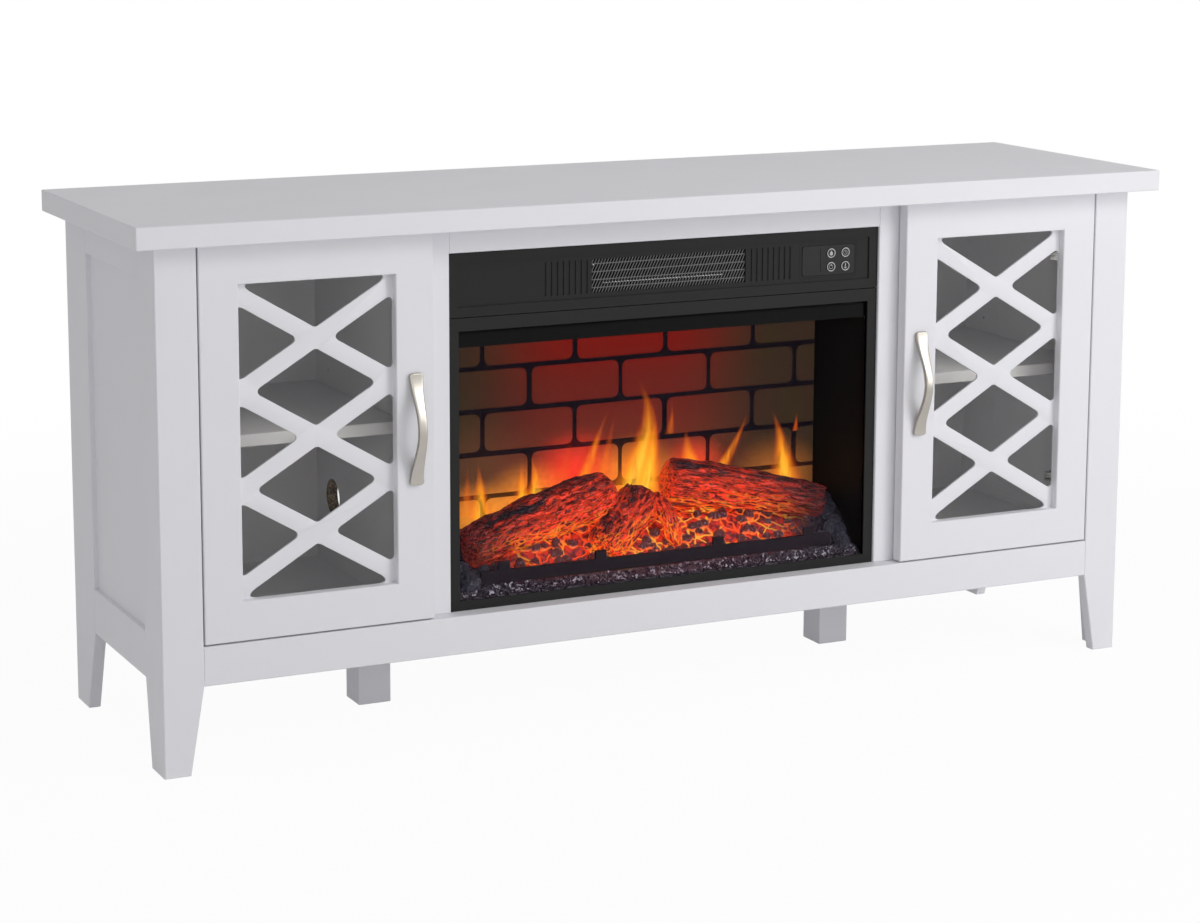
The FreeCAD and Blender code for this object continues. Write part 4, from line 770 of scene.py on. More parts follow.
def charred_bark():
    """Bark in plates: black with pale glints on top, and a painted glow below, red with glowing cracks near
    the bed.
    """
    material, tree, shader = new_finish("charred_bark", Emission_Strength=1.0, Specular_IOR_Level=0.2)
    bark = shaken(tree, put(tree, "Attribute", attribute_name="bark").outputs["Vector"], 70.0, 0.008)
    plates = cracks(tree, bark, 190.0)
    fibre = noise(tree, bark, 260.0, 4.0, 0.7)
    patch = noise(tree, bark, 48.0, 3.0)
    up = parted(tree, put(tree, "NewGeometry").outputs["Normal"])[2]
    x, _, z = parted(tree, object_place(tree))
    aside = apart(tree, x, -0.012)
    # heat is painted light: the glow fades towards the logs' ends and onto faces turned up, as if lit from
    # below.
    inner = remap(tree, aside, 0.27, 0.14)
    low = remap(tree, calc(tree, "MULTIPLY_ADD", calc(tree, "SUBTRACT", patch, 0.5), 1.2, up), 1.05, 0.2)
    heat = product(tree, inner, low)
    char = product(tree, remap(tree, patch, 0.53, 0.62), remap(tree, aside, 0.03, 0.10, 0.2, 1.0),
                   remap(tree, up, 0.45, 0.85))
    ridge = remap(tree, fibre, 0.44, 0.57)
    groove = remap(tree, plates, 0.13, 0.03)
    skin = mixed(tree, ridge, (0.006, 0.002, 0.002), (0.034, 0.010, 0.011))
    tree.links.new(mixed(tree, char, skin, (0.010, 0.009, 0.014)), shader["Base Color"])
    tree.links.new(remap(tree, fibre, 0.35, 0.65, 0.55, 0.22), shader["Roughness"])
    # Emission, all painted light: dim where heat is low, red where it is high, cracks brighter near the bed.
    dim = mixed(tree, heat, (0.006, 0.002, 0.003), (0.12, 0.005, 0.003))
    bright = mixed(tree, heat, (0.085, 0.008, 0.008), (1.0, 0.045, 0.010))
    body = mixed(tree, ridge, dim, bright)
    near_bed = remap(tree, calc(tree, "MULTIPLY_ADD", up, 0.03, z), 0.268, 0.226)
    reach = remap(tree, low, 0.0, 1.0, 0.1, 1.0)
    broken = remap(tree, noise(tree, bark, 95.0, 2.0), 0.36, 0.56)
    glow = product(tree, groove, broken, inner, reach)
    line = mixed(tree, near_bed, (0.46, 0.028, 0.008), (1.0, 0.24, 0.018))
    lined = mixed(tree, glow, body, line)
    tree.links.new(mixed(tree, char, lined, (0.004, 0.003, 0.005)), shader["Emission Color"])
    height = calc(tree, "ADD", product(tree, fibre, 0.8), remap(tree, plates, 0.0, 0.14))
    tree.links.new(bump(tree, height, 0.003), shader["Normal"])
    return material


def ember_crust():
    """The moulded bed of embers, lit by a painted glow: red with a net of yellow cracks, fading to dark at
    the ends and in front.
    """
    material, tree, shader = new_finish("ember_crust", Roughness=0.45, Emission_Strength=1.0,
                                        Specular_IOR_Level=0.2)
    place = object_place(tree)
    x, y, _ = parted(tree, place)
    bent = shaken(tree, place, 40.0, 0.02)
    net = cracks(tree, bent, 50.0)
    lumps = noise(tree, place, 110.0, 4.0, 0.6)
    patch = noise(tree, place, 20.0, 3.0)
    # heat is painted light: where the glow reaches, fading towards the ends and the front.
    heat = product(tree, remap(tree, apart(tree, x, 0.005), 0.25, 0.15), remap(tree, y, -0.1255, -0.1185))
    crack = remap(tree, net, 0.10, 0.02)
    hot = mixed(tree, remap(tree, patch, 0.42, 0.60), (0.95, 0.07, 0.009), colors().ember)
    dull = mixed(tree, remap(tree, lumps, 0.42, 0.58), (0.66, 0.022, 0.006), (0.10, 0.004, 0.003))
    glow = mixed(tree, crack, dull, hot)
    tree.links.new(mixed(tree, heat, (0.004, 0.003, 0.005), glow), shader["Emission Color"])
    tree.links.new(ramp(tree, lumps, (0.35, (0.006, 0.004, 0.007)), (0.65, (0.022, 0.014, 0.020))),
                   shader["Base Color"])
    height = calc(tree, "ADD", lumps, remap(tree, net, 0.0, 0.14))
    tree.links.new(bump(tree, height, 0.003), shader["Normal"])
    return material


def coal_skin():
    """Dark glossy coal with pale specks painted in for glints, and a painted glow where it faces down into
    the bed.
    """
    material, tree, shader = new_finish("coal_skin", Emission_Strength=1.0, Specular_IOR_Level=0.6)
    place = object_place(tree)
    up = parted(tree, put(tree, "NewGeometry").outputs["Normal"])[2]
    # Painted light: faces turned down glow red in the middle of the bed, the rest stays dark.
    heat = remap(tree, apart(tree, parted(tree, place)[0], 0.005), 0.25, 0.16)
    under = remap(tree, up, 0.10, -0.35)
    fine = noise(tree, place, 520.0, 5.0, 0.7)
    warm = mixed(tree, heat, (0.002, 0.002, 0.005), (0.060, 0.005, 0.005))
    glow = mixed(tree, product(tree, under, heat), warm, (0.95, 0.12, 0.012))
    tree.links.new(glow, shader["Emission Color"])
    # The pale top of the ramp is painted glints on the coal.
    tree.links.new(ramp(tree, fine, (0.3, (0.004, 0.004, 0.008)), (0.54, (0.018, 0.015, 0.026)),
                        (0.64, (0.26, 0.25, 0.30))), shader["Base Color"])
    tree.links.new(remap(tree, fine, 0.3, 0.7, 0.45, 0.18), shader["Roughness"])
    creased = calc(tree, "ADD", fine, noise(tree, place, 150.0, 3.0, 0.6, 1.0))
    tree.links.new(bump(tree, creased, 0.006), shader["Normal"])
    return material


def gravel_skin():
    """Dark purple grit with a few pale stones painted in for glints, and a faint painted red glow in the
    middle.
    """
    material, tree, shader = new_finish("gravel_skin", Roughness=0.5, Emission_Strength=1.0,
                                        Specular_IOR_Level=0.5)
    place = object_place(tree)
    cells = put(tree, "TexVoronoi", {"Vector": place, "Scale": 260.0}).outputs["Color"]
    tone = parted(tree, cells)[0]
    # heat is painted light: a faint red glow, strongest in the middle.
    heat = remap(tree, apart(tree, parted(tree, place)[0], 0.0), 0.24, 0.05)
    # The pale top of the ramp is painted glints.
    tree.links.new(ramp(tree, tone, (0.0, (0.010, 0.005, 0.011)), (0.55, (0.036, 0.022, 0.036)),
                        (0.82, (0.07, 0.055, 0.075)), (0.9, (0.34, 0.31, 0.37))), shader["Base Color"])
    tree.links.new(mixed(tree, heat, (0.004, 0.003, 0.007), (0.030, 0.004, 0.007)), shader["Emission Color"])
    tree.links.new(bump(tree, noise(tree, place, 900.0, 2.0), 0.0003), shader["Normal"])
    return material


def flame_film():
    """A clear film glowing with a painted flame: yellow at its heart, red at its rim, fading upwards."""
    material, tree, shader = new_finish("flame_film", Base_Color=(0.0, 0.0, 0.0, 1.0), Roughness=1.0,
                                        Specular_IOR_Level=0.0, Emission_Strength=1.25)
    u, v, _ = parted(tree, put(tree, "UVMap", uv_map="UVMap").outputs[0])
    warmth = put(tree, "Attribute", attribute_name="warmth").outputs["Fac"]
    place = stretched(tree, object_place(tree), (95.0, 95.0, 26.0))
    wisp = noise(tree, place, 1.0, 3.0, 0.5, 0.6)
    off = calc(tree, "ABSOLUTE", calc(tree, "MULTIPLY_ADD", u, 2.0, -1.0))
    core = remap(tree, off, 1.0, 0.0)
    fade = remap(tree, v, 1.0, 0.25)
    strength = remap(tree, warmth, 0.15, 0.9, 0.34, 0.97)
    facing = calc(tree, "SUBTRACT", 1.0, put(tree, "NewGeometry").outputs["Backfacing"])
    tree.links.new(product(tree, core, fade, remap(tree, wisp, 0.32, 0.62, 0.42, 1.0), strength, facing),
                   shader["Alpha"])
    hot = product(tree, core, remap(tree, v, 1.0, 0.15, 0.25, 1.0), warmth)
    tree.links.new(ramp(tree, hot, (0.0, (0.80, 0.045, 0.010)), (0.25, (0.95, 0.17, 0.012)),
                        (0.55, (1.0, 0.31, 0.012)), (0.9, (1.0, 0.52, 0.04))), shader["Emission Color"])
    return material


def floor_white():
    """A pale floor that keeps the soft shadow and meets the white background."""
    material, tree, shader = new_finish("floor_white", Roughness=0.9, Specular_IOR_Level=0.0)
    cloudy = noise(tree, object_place(tree), 0.8, 2.0)
    tree.links.new(ramp(tree, cloudy, (0.3, (0.86, 0.86, 0.865)), (0.7, (0.88, 0.88, 0.885))),
                   shader["Base Color"])
    shade = put(tree, "Emission", {"Color": (1.0, 1.0, 1.0, 1.0), "Strength": 1.0}).outputs[0]
    away = put(tree, "VectorMath", {0: object_place(tree)}, operation="LENGTH").outputs["Value"]
    share = product(tree, seen_rays(tree), remap(tree, away, 0.9, 2.6, 0.95, 1.0))
    surface = tree.nodes["Principled BSDF"].outputs[0]
    both = put(tree, "MixShader", {0: share, 1: surface, 2: shade}).outputs[0]
    tree.links.new(both, tree.nodes["Material Output"].inputs["Surface"])
    return material


def seen_rays(tree):
    """1 for what the camera sees, straight on or in metal and glass, and 0 for light on surfaces."""
    path = put(tree, "LightPath").outputs
    seen = calc(tree, "ADD", path["Is Camera Ray"], path["Is Glossy Ray"])
    return calc(tree, "ADD", seen, path["Is Transmission Ray"], clamp=True)


FINISHES = {make.__name__: make for make in (
    rolled_white, white_board, drilled_board, black_powder, black_liner, grate_iron, dark_steel, mesh_wire,
    panel_plastic, moulded_black, key_face, key_ring, key_icon, brushed_nickel, bright_plating, galvanised,
    creased_foil, circuit_board, door_pane, fire_pane, brick_face, mortar, charred_bark, ember_crust,
    coal_skin, gravel_skin, flame_film, floor_white,
)}


def finish(name):
    """A finish by its name, made the first time that it is asked for."""
    return bpy.data.materials.get(name) or FINISHES[name]()


def sizes():
    """Sizes set in the panel."""
    return bpy.context.scene.console_sizes


def colors():
    """Colours set in the panel."""
    return bpy.context.scene.console_colors


class CONSOLE_OT_finishes(Operator):
    """Gives each kept solid its finish"""
    bl_idname = "console.finishes"
    bl_label = "Finishes"

    def execute(self, context):
        for name, nodes in NODE_FINISHES.items():
            for node in nodes:
                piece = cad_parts[node]
                for place in piece.material_slots:
                    place.material = finish(name)
        return {"FINISHED"}


# Door lattices

class CONSOLE_OT_lattices(Operator):
    """Lattices of stacked crosses with rounded corners, in both doors"""
    bl_idname = "console.lattices"
    bl_label = "Door lattices"
    cells = 3
    edge = 0.0006
    clearance = 0.001

    def execute(self, context):
        low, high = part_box("right_door_lattice")
        piece = begin("right_lattice", bpy.ops.mesh.primitive_cube_add, size=1, location=(low + high) / 2,
                      scale=high - low)
        cutter = joined([self.light(corners, low.y, high.y) for corners in self.lights()], "lattice_lights")
        apply(piece, "BOOLEAN", object=cutter, operation="DIFFERENCE")
        bpy.data.objects.remove(cutter)
        apply(piece, "BEVEL", width=self.edge, segments=2, limit_method="ANGLE", angle_limit=math.radians(50))
        settle(twin(piece, "left_lattice"), "left_door", "white_paint", "rolled_white", "left_door_lattice")
        settle(piece, "right_door", "white_paint", "rolled_white", "right_door_lattice")
        return {"FINISHED"}

    def lights(self):
        """Corners of the triangles and diamonds between the bars."""
        low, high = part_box("right_door_frame")
        rail = sizes().door_rail
        bottom = low.z + rail
        top = high.z - rail
        middle = (low.x + high.x) / 2
        half = (high.x - low.x) / 2 - rail
        rise = self.bar_rise(half, top - bottom)
        cell = (top - bottom - 2 * rise) / self.cells
        centres = [bottom + rise + cell * (index + 0.5) for index in range(self.cells)]
        for point, base in ((centres[0] - rise, bottom), (centres[-1] + rise, top)):
            yield (middle, point), (middle + half, base), (middle - half, base)
        for z in centres:
            for side in (-1, 1):
                inner = middle + side * 2 * half * rise / cell
                outer = middle + side * half
                yield (inner, z), (outer, z + cell / 2 - rise), (outer, z - cell / 2 + rise)
        for z in centres[:-1]:
            reach = half * (1 - 2 * rise / cell)
            yield ((middle, z + rise), (middle + reach, z + cell / 2), (middle, z + cell - rise),
                   (middle - reach, z + cell / 2))

    def bar_rise(self, half, height):
        """Half the upright thickness of a slanting bar, where the crosses just fill the opening."""
        half_bar = sizes().lattice_bar / 2
        run = 2 * half * self.cells
        a = run ** 2 - 4 * half_bar ** 2
        b = 4 * half_bar ** 2 * height
        c = -half_bar ** 2 * (run ** 2 + height ** 2)
        return (-b + math.sqrt(b ** 2 - 4 * a * c)) / (2 * a)

    def light(self, corners, front, back):
        """The prism between bars, with rounded corners."""
        piece = begin("light", bpy.ops.mesh.primitive_circle_add, vertices=len(corners), radius=0.01,
                      fill_type="NGON", location=(0, front - self.clearance, 0), rotation=(math.pi / 2, 0, 0))
        for index, (x, z) in enumerate(corners):
            start = piece.data.vertices[index].co.copy()
            pick("VERT", lambda corner: corner.index == index)
            bpy.ops.transform.translate(value=(x - start.x, 0, z - start.z))
        bpy.ops.mesh.select_all(action="SELECT")
        extrude(y=back - front + 2 * self.clearance)
        for index, (x, z) in enumerate(corners):
            here = Vector((x, z))
            back_way = Vector(corners[index - 1]) - here
            ahead_way = Vector(corners[(index + 1) % len(corners)]) - here
            half_angle = back_way.angle(ahead_way) / 2
            pick("EDGE", lambda edge: runs_along(edge, 1) and near(edge.verts[0].co.x, x)
                 and near(edge.verts[0].co.z, z))
            bpy.ops.mesh.bevel(offset=sizes().lattice_corner / math.tan(half_angle), segments=7)
        rest()
        turned_out(piece)
        return piece


# Handles

def arc(reach, half_span, height):
    """How far an arc over its span stands out at a height from its middle."""
    radius = (half_span ** 2 + reach ** 2) / (2 * reach)
    return reach - radius + math.sqrt(radius ** 2 - min(abs(height), half_span) ** 2)


def bow(reach, half_span, height):
    """How far a bow with level ends stands out at a height from its middle."""
    return reach * (1 + math.cos(math.pi * min(1.0, abs(height) / half_span))) / 2


class CONSOLE_OT_handles(Operator):
    """Bow handles of the two doors"""
    bl_idname = "console.handles"
    bl_label = "Handles"
    rows = 72
    end_round = 0.0045
    end_pull = 1.7

    def execute(self, context):
        low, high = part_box("right_handle")
        size = high - low
        middle = (low + high) / 2
        tip = sizes().handle_tip
        piece = begin("right_bow_handle", bpy.ops.mesh.primitive_cube_add, size=1,
                      location=(middle.x, high.y - tip / 2, middle.z), scale=(size.x, tip, size.z))
        pick("EDGE", lambda edge: runs_along(edge, 2))
        bpy.ops.mesh.subdivide(number_cuts=self.rows - 1)
        half = size.z / 2
        for row in range(self.rows + 1):
            self.shape_row(middle, size, high.y, half * (2 * row / self.rows - 1))
        rest()
        apply(piece, "BEVEL", width=sizes().handle_edge, segments=4, limit_method="ANGLE",
              angle_limit=math.radians(40))
        apply(piece, "SUBSURF", levels=1, render_levels=1)
        settle(twin(piece, "left_bow_handle"), "left_door", "satin_nickel", "brushed_nickel", "left_handle")
        settle(piece, "right_door", "satin_nickel", "brushed_nickel", "right_handle")
        return {"FINISHED"}

    def shape_row(self, middle, size, door_y, height):
        """Bows one level row of the handle outwards and draws in its waist."""
        z = middle.z + height
        half = size.z / 2
        tip = sizes().handle_tip
        outer = bow(size.y - tip, half, height)
        inner = bow(size.y - sizes().handle_strap, half - sizes().handle_foot, height)
        waist = 2 * arc((size.x - sizes().handle_waist) / 2, half, height)
        short = max(0.0, self.end_round - half + abs(height))
        waist += self.end_pull * (self.end_round - math.sqrt(max(0.0, self.end_round ** 2 - short ** 2)))
        pick("VERT", lambda corner: near(corner.co.z, z))
        bpy.ops.transform.resize(value=(1 - waist / size.x, 1, 1), center_override=(middle.x, door_y, z))
        pick("VERT", lambda corner: near(corner.co.z, z) and near(corner.co.y, door_y - tip))
        bpy.ops.transform.translate(value=(0, -outer, 0))
        pick("VERT", lambda corner: near(corner.co.z, z) and near(corner.co.y, door_y))
        bpy.ops.transform.translate(value=(0, -inner, 0))


# Vent mesh

class CONSOLE_OT_vent_mesh(Operator):
    """Slanting slots of the vent mesh"""
    bl_idname = "console.vent_mesh"
    bl_label = "Vent mesh"
    slant = 0.5
    weld = 0.00005
    rod_radius = 0.001
    rod_length = 0.171
    rod_shift = -0.0055
    rod_rise = 0.0155
    rod_gap = 0.003
    rod_bends = ((0.003, 0.001), (0.001, 0.006))

    def execute(self, context):
        low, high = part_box("vent_mesh")
        size = high - low
        middle = (low + high) / 2
        height = size.z / sizes().weave_rows
        lean = height * self.slant
        piece = begin("vent_weave", bpy.ops.mesh.primitive_grid_add, x_subdivisions=sizes().weave_columns,
                      y_subdivisions=1, size=1, location=(middle.x, middle.y, low.z + height / 2),
                      rotation=(math.pi / 2, 0, 0), scale=(size.x - lean, height, 1))
        pick("VERT", lambda corner: corner.co.z > low.z + height / 2)
        bpy.ops.transform.translate(value=(lean / 2, 0, 0))
        pick("VERT", lambda corner: corner.co.z < low.z + height / 2)
        bpy.ops.transform.translate(value=(-lean / 2, 0, 0))
        pick("FACE", lambda face: True)
        bpy.ops.mesh.inset(thickness=sizes().weave_wire / 2, use_individual=True)
        bpy.ops.mesh.delete(type="FACE")
        rest()
        apply(piece, "ARRAY", count=sizes().weave_rows, use_relative_offset=False, use_constant_offset=True,
              constant_offset_displace=(0, 0, height))
        apply(piece, "WELD", merge_threshold=self.weld)
        apply(piece, "SOLIDIFY", thickness=size.y, offset=0)
        turned_out(piece)
        settle(piece, "cabinet", "black_sheet", "mesh_wire", "vent_mesh")
        settle(self.guard(low, high), "cabinet", "plated_steel", "bright_plating")
        return {"FINISHED"}

    def guard(self, low, high):
        """A bright rod behind the mesh, with its ends turned back."""
        piece = begin("guard_rod", bpy.ops.mesh.primitive_cylinder_add, vertices=16, radius=self.rod_radius,
                      depth=self.rod_length, rotation=(0, math.pi / 2, 0),
                      location=(self.rod_shift, high.y + self.rod_gap, low.z + self.rod_rise))
        for side in (-1, 1):
            pick("FACE", lambda face: face.normal.x * side > 0.9)
            for outwards, back in self.rod_bends:
                extrude(side * outwards, back)
        return piece


# Keys

KEY_NODES = {"power": "power_button", "heat": "heat_button", "flame": "flame_button", "timer": "timer_button"}


class CONSOLE_OT_keys(Operator):
    """Round keys with a pale ring and a small sign"""
    bl_idname = "console.keys"
    bl_label = "Keys"
    dish = 0.0005
    raise_by = 0.0003
    rim = 0.0003
    ring_slack = 0.0004
    collar_depth = 0.0012
    stem_depth = 0.003
    stem_share = 0.3
    field_depth = 0.002
    # Sizes of the black strip that paints the shade of the groove round the control panel
    shade_margin = 0.001
    shade_thickness = 0.0002
    shade_corner = 0.004
    shade_width = 0.0022

    def execute(self, context):
        for key, node in KEY_NODES.items():
            low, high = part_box(node)
            middle = (low + high) / 2
            cap = self.cap(key + "_key_cap", low, high, middle)
            face = Vector((middle.x, low.y + self.dish, middle.z))
            signs = getattr(self, key + "_sign")(face)
            for sign in signs:
                rest()
                sign.data.materials.append(finish("key_icon"))
            piece = joined([cap] + signs, key + "_key_cap")
            settle(piece, key + "_key", "button_grey", None, node)
        # Painted shade: a black strip where the groove round the control panel lies in shade.
        settle(self.groove_shade(), "cabinet", "black_plastic", "moulded_black")
        return {"FINISHED"}

    def groove_shade(self):
        """A thin black strip of painted shade, the dark line of the groove round the control panel."""
        low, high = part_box("control_panel")
        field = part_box("upper_fascia")[0].y + self.field_depth
        piece = begin("panel_groove_shade", bpy.ops.mesh.primitive_cube_add, size=1,
                      location=((low.x + high.x) / 2, field - self.shade_thickness / 2, (low.z + high.z) / 2),
                      scale=(high.x - low.x + 2 * self.shade_margin, self.shade_thickness,
                             high.z - low.z + 2 * self.shade_margin))
        pick("EDGE", lambda edge: runs_along(edge, 1))
        bpy.ops.mesh.bevel(offset=self.shade_corner, segments=5)
        pick("FACE", lambda face: abs(face.normal.y) > 0.9)
        bpy.ops.mesh.inset(thickness=self.shade_width)
        bpy.ops.mesh.bridge_edge_loops()
        return piece

    def cap(self, name, low, high, middle):
        """A cap with a proud ring, a collar behind the panel and a stem."""
        radius = sizes().key_radius
        collar_y = high.y - self.collar_depth - self.stem_depth
        collar = (high.x - low.x) / 2
        piece = begin(name, bpy.ops.mesh.primitive_cylinder_add, vertices=48, radius=radius,
                      depth=collar_y - low.y, location=(middle.x, (low.y + collar_y) / 2, middle.z),
                      rotation=(math.pi / 2, 0, 0))
        pick("FACE", lambda face: face.normal.y < -0.9)
        bpy.ops.mesh.inset(thickness=sizes().key_ring)
        extrude(y=self.dish)
        pick("FACE", lambda face: face.normal.y > 0.9)
        for widen, back in ((collar / radius, self.collar_depth), (self.stem_share, self.stem_depth)):
            extrude()
            bpy.ops.transform.resize(value=(widen, 1, widen), center_override=middle)
            extrude(y=back)
        pick("EDGE", lambda edge: all(near(corner.co.y, low.y) for corner in edge.verts))
        bpy.ops.mesh.bevel(offset=self.rim, segments=3)
        rest()
        for material in ("key_ring", "key_face"):
            piece.data.materials.append(finish(material))
        inner = radius - sizes().key_ring - self.ring_slack
        for face in piece.data.polygons:
            away = Vector((face.center.x - middle.x, face.center.z - middle.z)).length
            front = face.center.y < low.y + self.dish * 1.5
            face.material_index = 0 if front and away > inner else 1
        return piece

    def bar(self, face, x, z, width, height, turn=0.0):
        """A raised bar of a sign, with softened ends."""
        piece = begin("sign_bar", bpy.ops.mesh.primitive_cube_add, size=1,
                      location=(face.x + x, face.y, face.z + z), rotation=(0, turn, 0),
                      scale=(width, 2 * self.raise_by, height))
        pick("EDGE", lambda edge: runs_along(edge, 1))
        bpy.ops.mesh.bevel(offset=min(width, height) * 0.4, segments=2)
        return piece

    def ring(self, face, radius):
        """A raised ring of a sign."""
        return begin("sign_ring", bpy.ops.mesh.primitive_torus_add, major_segments=32, minor_segments=8,
                     major_radius=radius, minor_radius=self.raise_by, location=face,
                     rotation=(math.pi / 2, 0, 0))

    def drop(self, face, radius, rise, z=0.0):
        """A raised disc of a sign, drawn up into a point."""
        piece = begin("sign_drop", bpy.ops.mesh.primitive_cylinder_add, vertices=24, radius=radius,
                      depth=2 * self.raise_by, location=(face.x, face.y, face.z + z),
                      rotation=(math.pi / 2, 0, 0))
        if rise:
            pick("VERT", lambda corner: corner.co.z > face.z + z + radius * 0.8)
            bpy.ops.transform.translate(value=(0, 0, rise))
            bpy.ops.transform.resize(value=(0.3, 1, 1), center_override=face)
        return piece

    def power_sign(self, face):
        """A ring with a bar through its top."""
        return [self.ring(face, 0.0027), self.bar(face, 0, 0.0022, 0.0008, 0.0028)]

    def heat_sign(self, face):
        """A thermometer: a bar on a bulb."""
        return [self.bar(face, 0, 0.0008, 0.0014, 0.0054), self.drop(face, 0.0017, 0.0, -0.0020)]

    def flame_sign(self, face):
        """A drop drawn up like a flame."""
        return [self.drop(face, 0.0025, 0.0019, -0.0008)]

    def timer_sign(self, face):
        """A clock face with two hands."""
        return [self.ring(face, 0.0030), self.bar(face, 0, 0.0010, 0.0007, 0.0024),
                self.bar(face, 0.0008, 0, 0.0020, 0.0007)]


# Brick wall

class CONSOLE_OT_brick_wall(Operator):
    """Bricks in running bond on their mortar"""
    bl_idname = "console.brick_wall"
    bl_label = "Brick wall"
    relief = 0.0012
    bed_depth = 0.0004
    corner = 0.009
    edge = 0.0007
    plate_edge = 0.0004
    top_course = 0.3425
    first_joint = 0.0658
    courses = 7
    per_course = 8
    slip_along = 0.0008
    slip_up = 0.0006
    tilt = 0.006
    margin = 0.001

    def execute(self, context):
        low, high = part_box("brick_screen")
        length = sizes().brick_length
        height = sizes().brick_height
        plate = begin("mortar_plate", bpy.ops.mesh.primitive_cube_add, size=1,
                      location=(0, (low.y + self.relief + high.y) / 2, (low.z + high.z) / 2),
                      scale=(high.x - low.x, high.y - low.y - self.relief, high.z - low.z))
        bpy.ops.mesh.bevel(offset=self.plate_edge, segments=1, affect="EDGES")
        rest()
        plate.data.materials.append(finish("mortar"))
        spread = random.Random(5)
        places = []
        for course in range(-1, self.courses):
            z = low.z + self.top_course - (course + 0.5) * height
            start = self.first_joint + (course % 2 - self.per_course) * length / 2
            for index in range(self.per_course):
                x = start + (index + 0.5) * length
                if low.x - length / 2 < x < high.x + length / 2:
                    slip = Vector((spread.uniform(-self.slip_along, self.slip_along), 0,
                                   spread.uniform(-self.slip_up, self.slip_up)))
                    turn = Matrix.Rotation(spread.uniform(-self.tilt, self.tilt), 4, "Y")
                    places.append(Matrix.Translation(Vector((x, low.y, z)) + slip) @ turn)
        wall = scattered([self.brick()], places, "brick_wall")
        self.trim(wall, low, high)
        wall.data.materials.append(finish("brick_face"))
        wall = joined([wall, plate], "brick_wall")
        settle(wall, "cabinet", "brick_red", None, "brick_screen")
        return {"FINISHED"}

    def brick(self):
        """One brick with rounded corners and a softened face."""
        joint = sizes().mortar
        depth = self.relief + self.bed_depth
        piece = begin("brick", bpy.ops.mesh.primitive_cube_add, size=1, location=(0, depth / 2, 0),
                      scale=(sizes().brick_length - joint, depth, sizes().brick_height - joint))
        pick("EDGE", lambda edge: runs_along(edge, 1))
        bpy.ops.mesh.bevel(offset=self.corner, segments=5)
        pick("EDGE", lambda edge: all(near(corner.co.y, 0) for corner in edge.verts))
        bpy.ops.mesh.bevel(offset=self.edge, segments=2)
        return piece

    def trim(self, wall, low, high):
        """Cuts the bricks off at the edges of the screen."""
        choose(wall)
        bpy.ops.object.mode_set(mode="EDIT")
        for corner, ways in ((low, ((1, 0, 0), (0, 0, 1))), (high, ((-1, 0, 0), (0, 0, -1)))):
            for way in ways:
                bpy.ops.mesh.select_all(action="SELECT")
                bpy.ops.mesh.bisect(plane_co=corner + Vector(way) * self.margin, plane_no=way, use_fill=True,
                                    clear_inner=True)
        rest()


# Log set

class CONSOLE_OT_logs(Operator):
    """Charred logs with bark and rounded ends"""
    bl_idname = "console.logs"
    bl_label = "Logs"
    sides = 88
    rows = 72
    end_round = 0.016
    swell = 0.002
    sag = 0.004
    wander = 0.0005
    wander_kept = 0.92
    cap_rings = 4
    cap_share = 0.1

    def execute(self, context):
        logs = [self.log(*each) for each in LOGS]
        piece = joined(logs, "log_set")
        settle(piece, "cabinet", "log_resin", "charred_bark", "logs", angle=60.0)
        return {"FINISHED"}

    def log(self, name, start, end, start_radius, end_radius, stretch, seed):
        """A short column with rounded ends and lumpy bark, drawn out to its length along its middle line."""
        start = Vector(start)
        end = Vector(end)
        length = (end - start).length
        squeezed = length / stretch
        piece = begin(name, bpy.ops.mesh.primitive_cylinder_add, vertices=self.sides, radius=start_radius,
                      depth=squeezed, location=(0, 0, squeezed / 2))
        pick("EDGE", lambda edge: runs_along(edge, 2))
        bpy.ops.mesh.subdivide(number_cuts=self.rows - 1)
        spread = random.Random(seed)
        drift = Vector((0, 0, 0))
        piece.vertex_groups.new(name="lumps")
        for row in range(self.rows + 1):
            share = row / self.rows
            z = squeezed * share
            arch = math.sin(math.pi * share)
            radius = start_radius + (end_radius - start_radius) * share + self.swell * arch
            gap = min(1, min(share, 1 - share) * length / self.end_round)
            radius *= 0.5 + 0.5 * math.sqrt(1 - (1 - gap) ** 2)
            step = Vector((spread.uniform(-1, 1), spread.uniform(-1, 1), 0))
            drift = drift * self.wander_kept + step * self.wander
            pick("VERT", lambda corner: near(corner.co.z, z))
            grow = radius / start_radius
            bpy.ops.transform.resize(value=(grow, grow, 1), center_override=(0, 0, z))
            bpy.ops.transform.translate(value=(drift.x, drift.y + self.sag * arch, 0))
            bpy.context.tool_settings.vertex_group_weight = gap ** 2
            bpy.ops.object.vertex_group_assign()
        pick("FACE", lambda face: len(face.verts) > 4)
        for ring in range(self.cap_rings):
            bpy.ops.mesh.inset(thickness=self.cap_share * min(start_radius, end_radius))
        bpy.ops.mesh.poke()
        rest()
        lumpy(piece, "CLOUDS", size=0.017, strength=0.008, seed=seed, vertex_group="lumps")
        lumpy(piece, "MUSGRAVE", size=0.006, strength=0.0016, seed=seed, vertex_group="lumps")
        points = [0.0] * (3 * len(piece.data.vertices))
        piece.data.vertices.foreach_get("co", points)
        bark = piece.data.attributes.new("bark", "FLOAT_VECTOR", "POINT")
        bark.data.foreach_set("vector", [part + seed for part in points])
        along = (end - start).normalized()
        side = Vector((0, 0, 1)).cross(along).normalized()
        turn = Matrix((side, along.cross(side), along)).transposed().to_4x4()
        piece.matrix_world = Matrix.Translation(start) @ turn @ Matrix.Diagonal((1, 1, stretch, 1))
        choose(piece)
        fix_place()
        return piece


# Ember bed, from the screen to the front: a level crown, a slope, a ledge and a strip of gravel

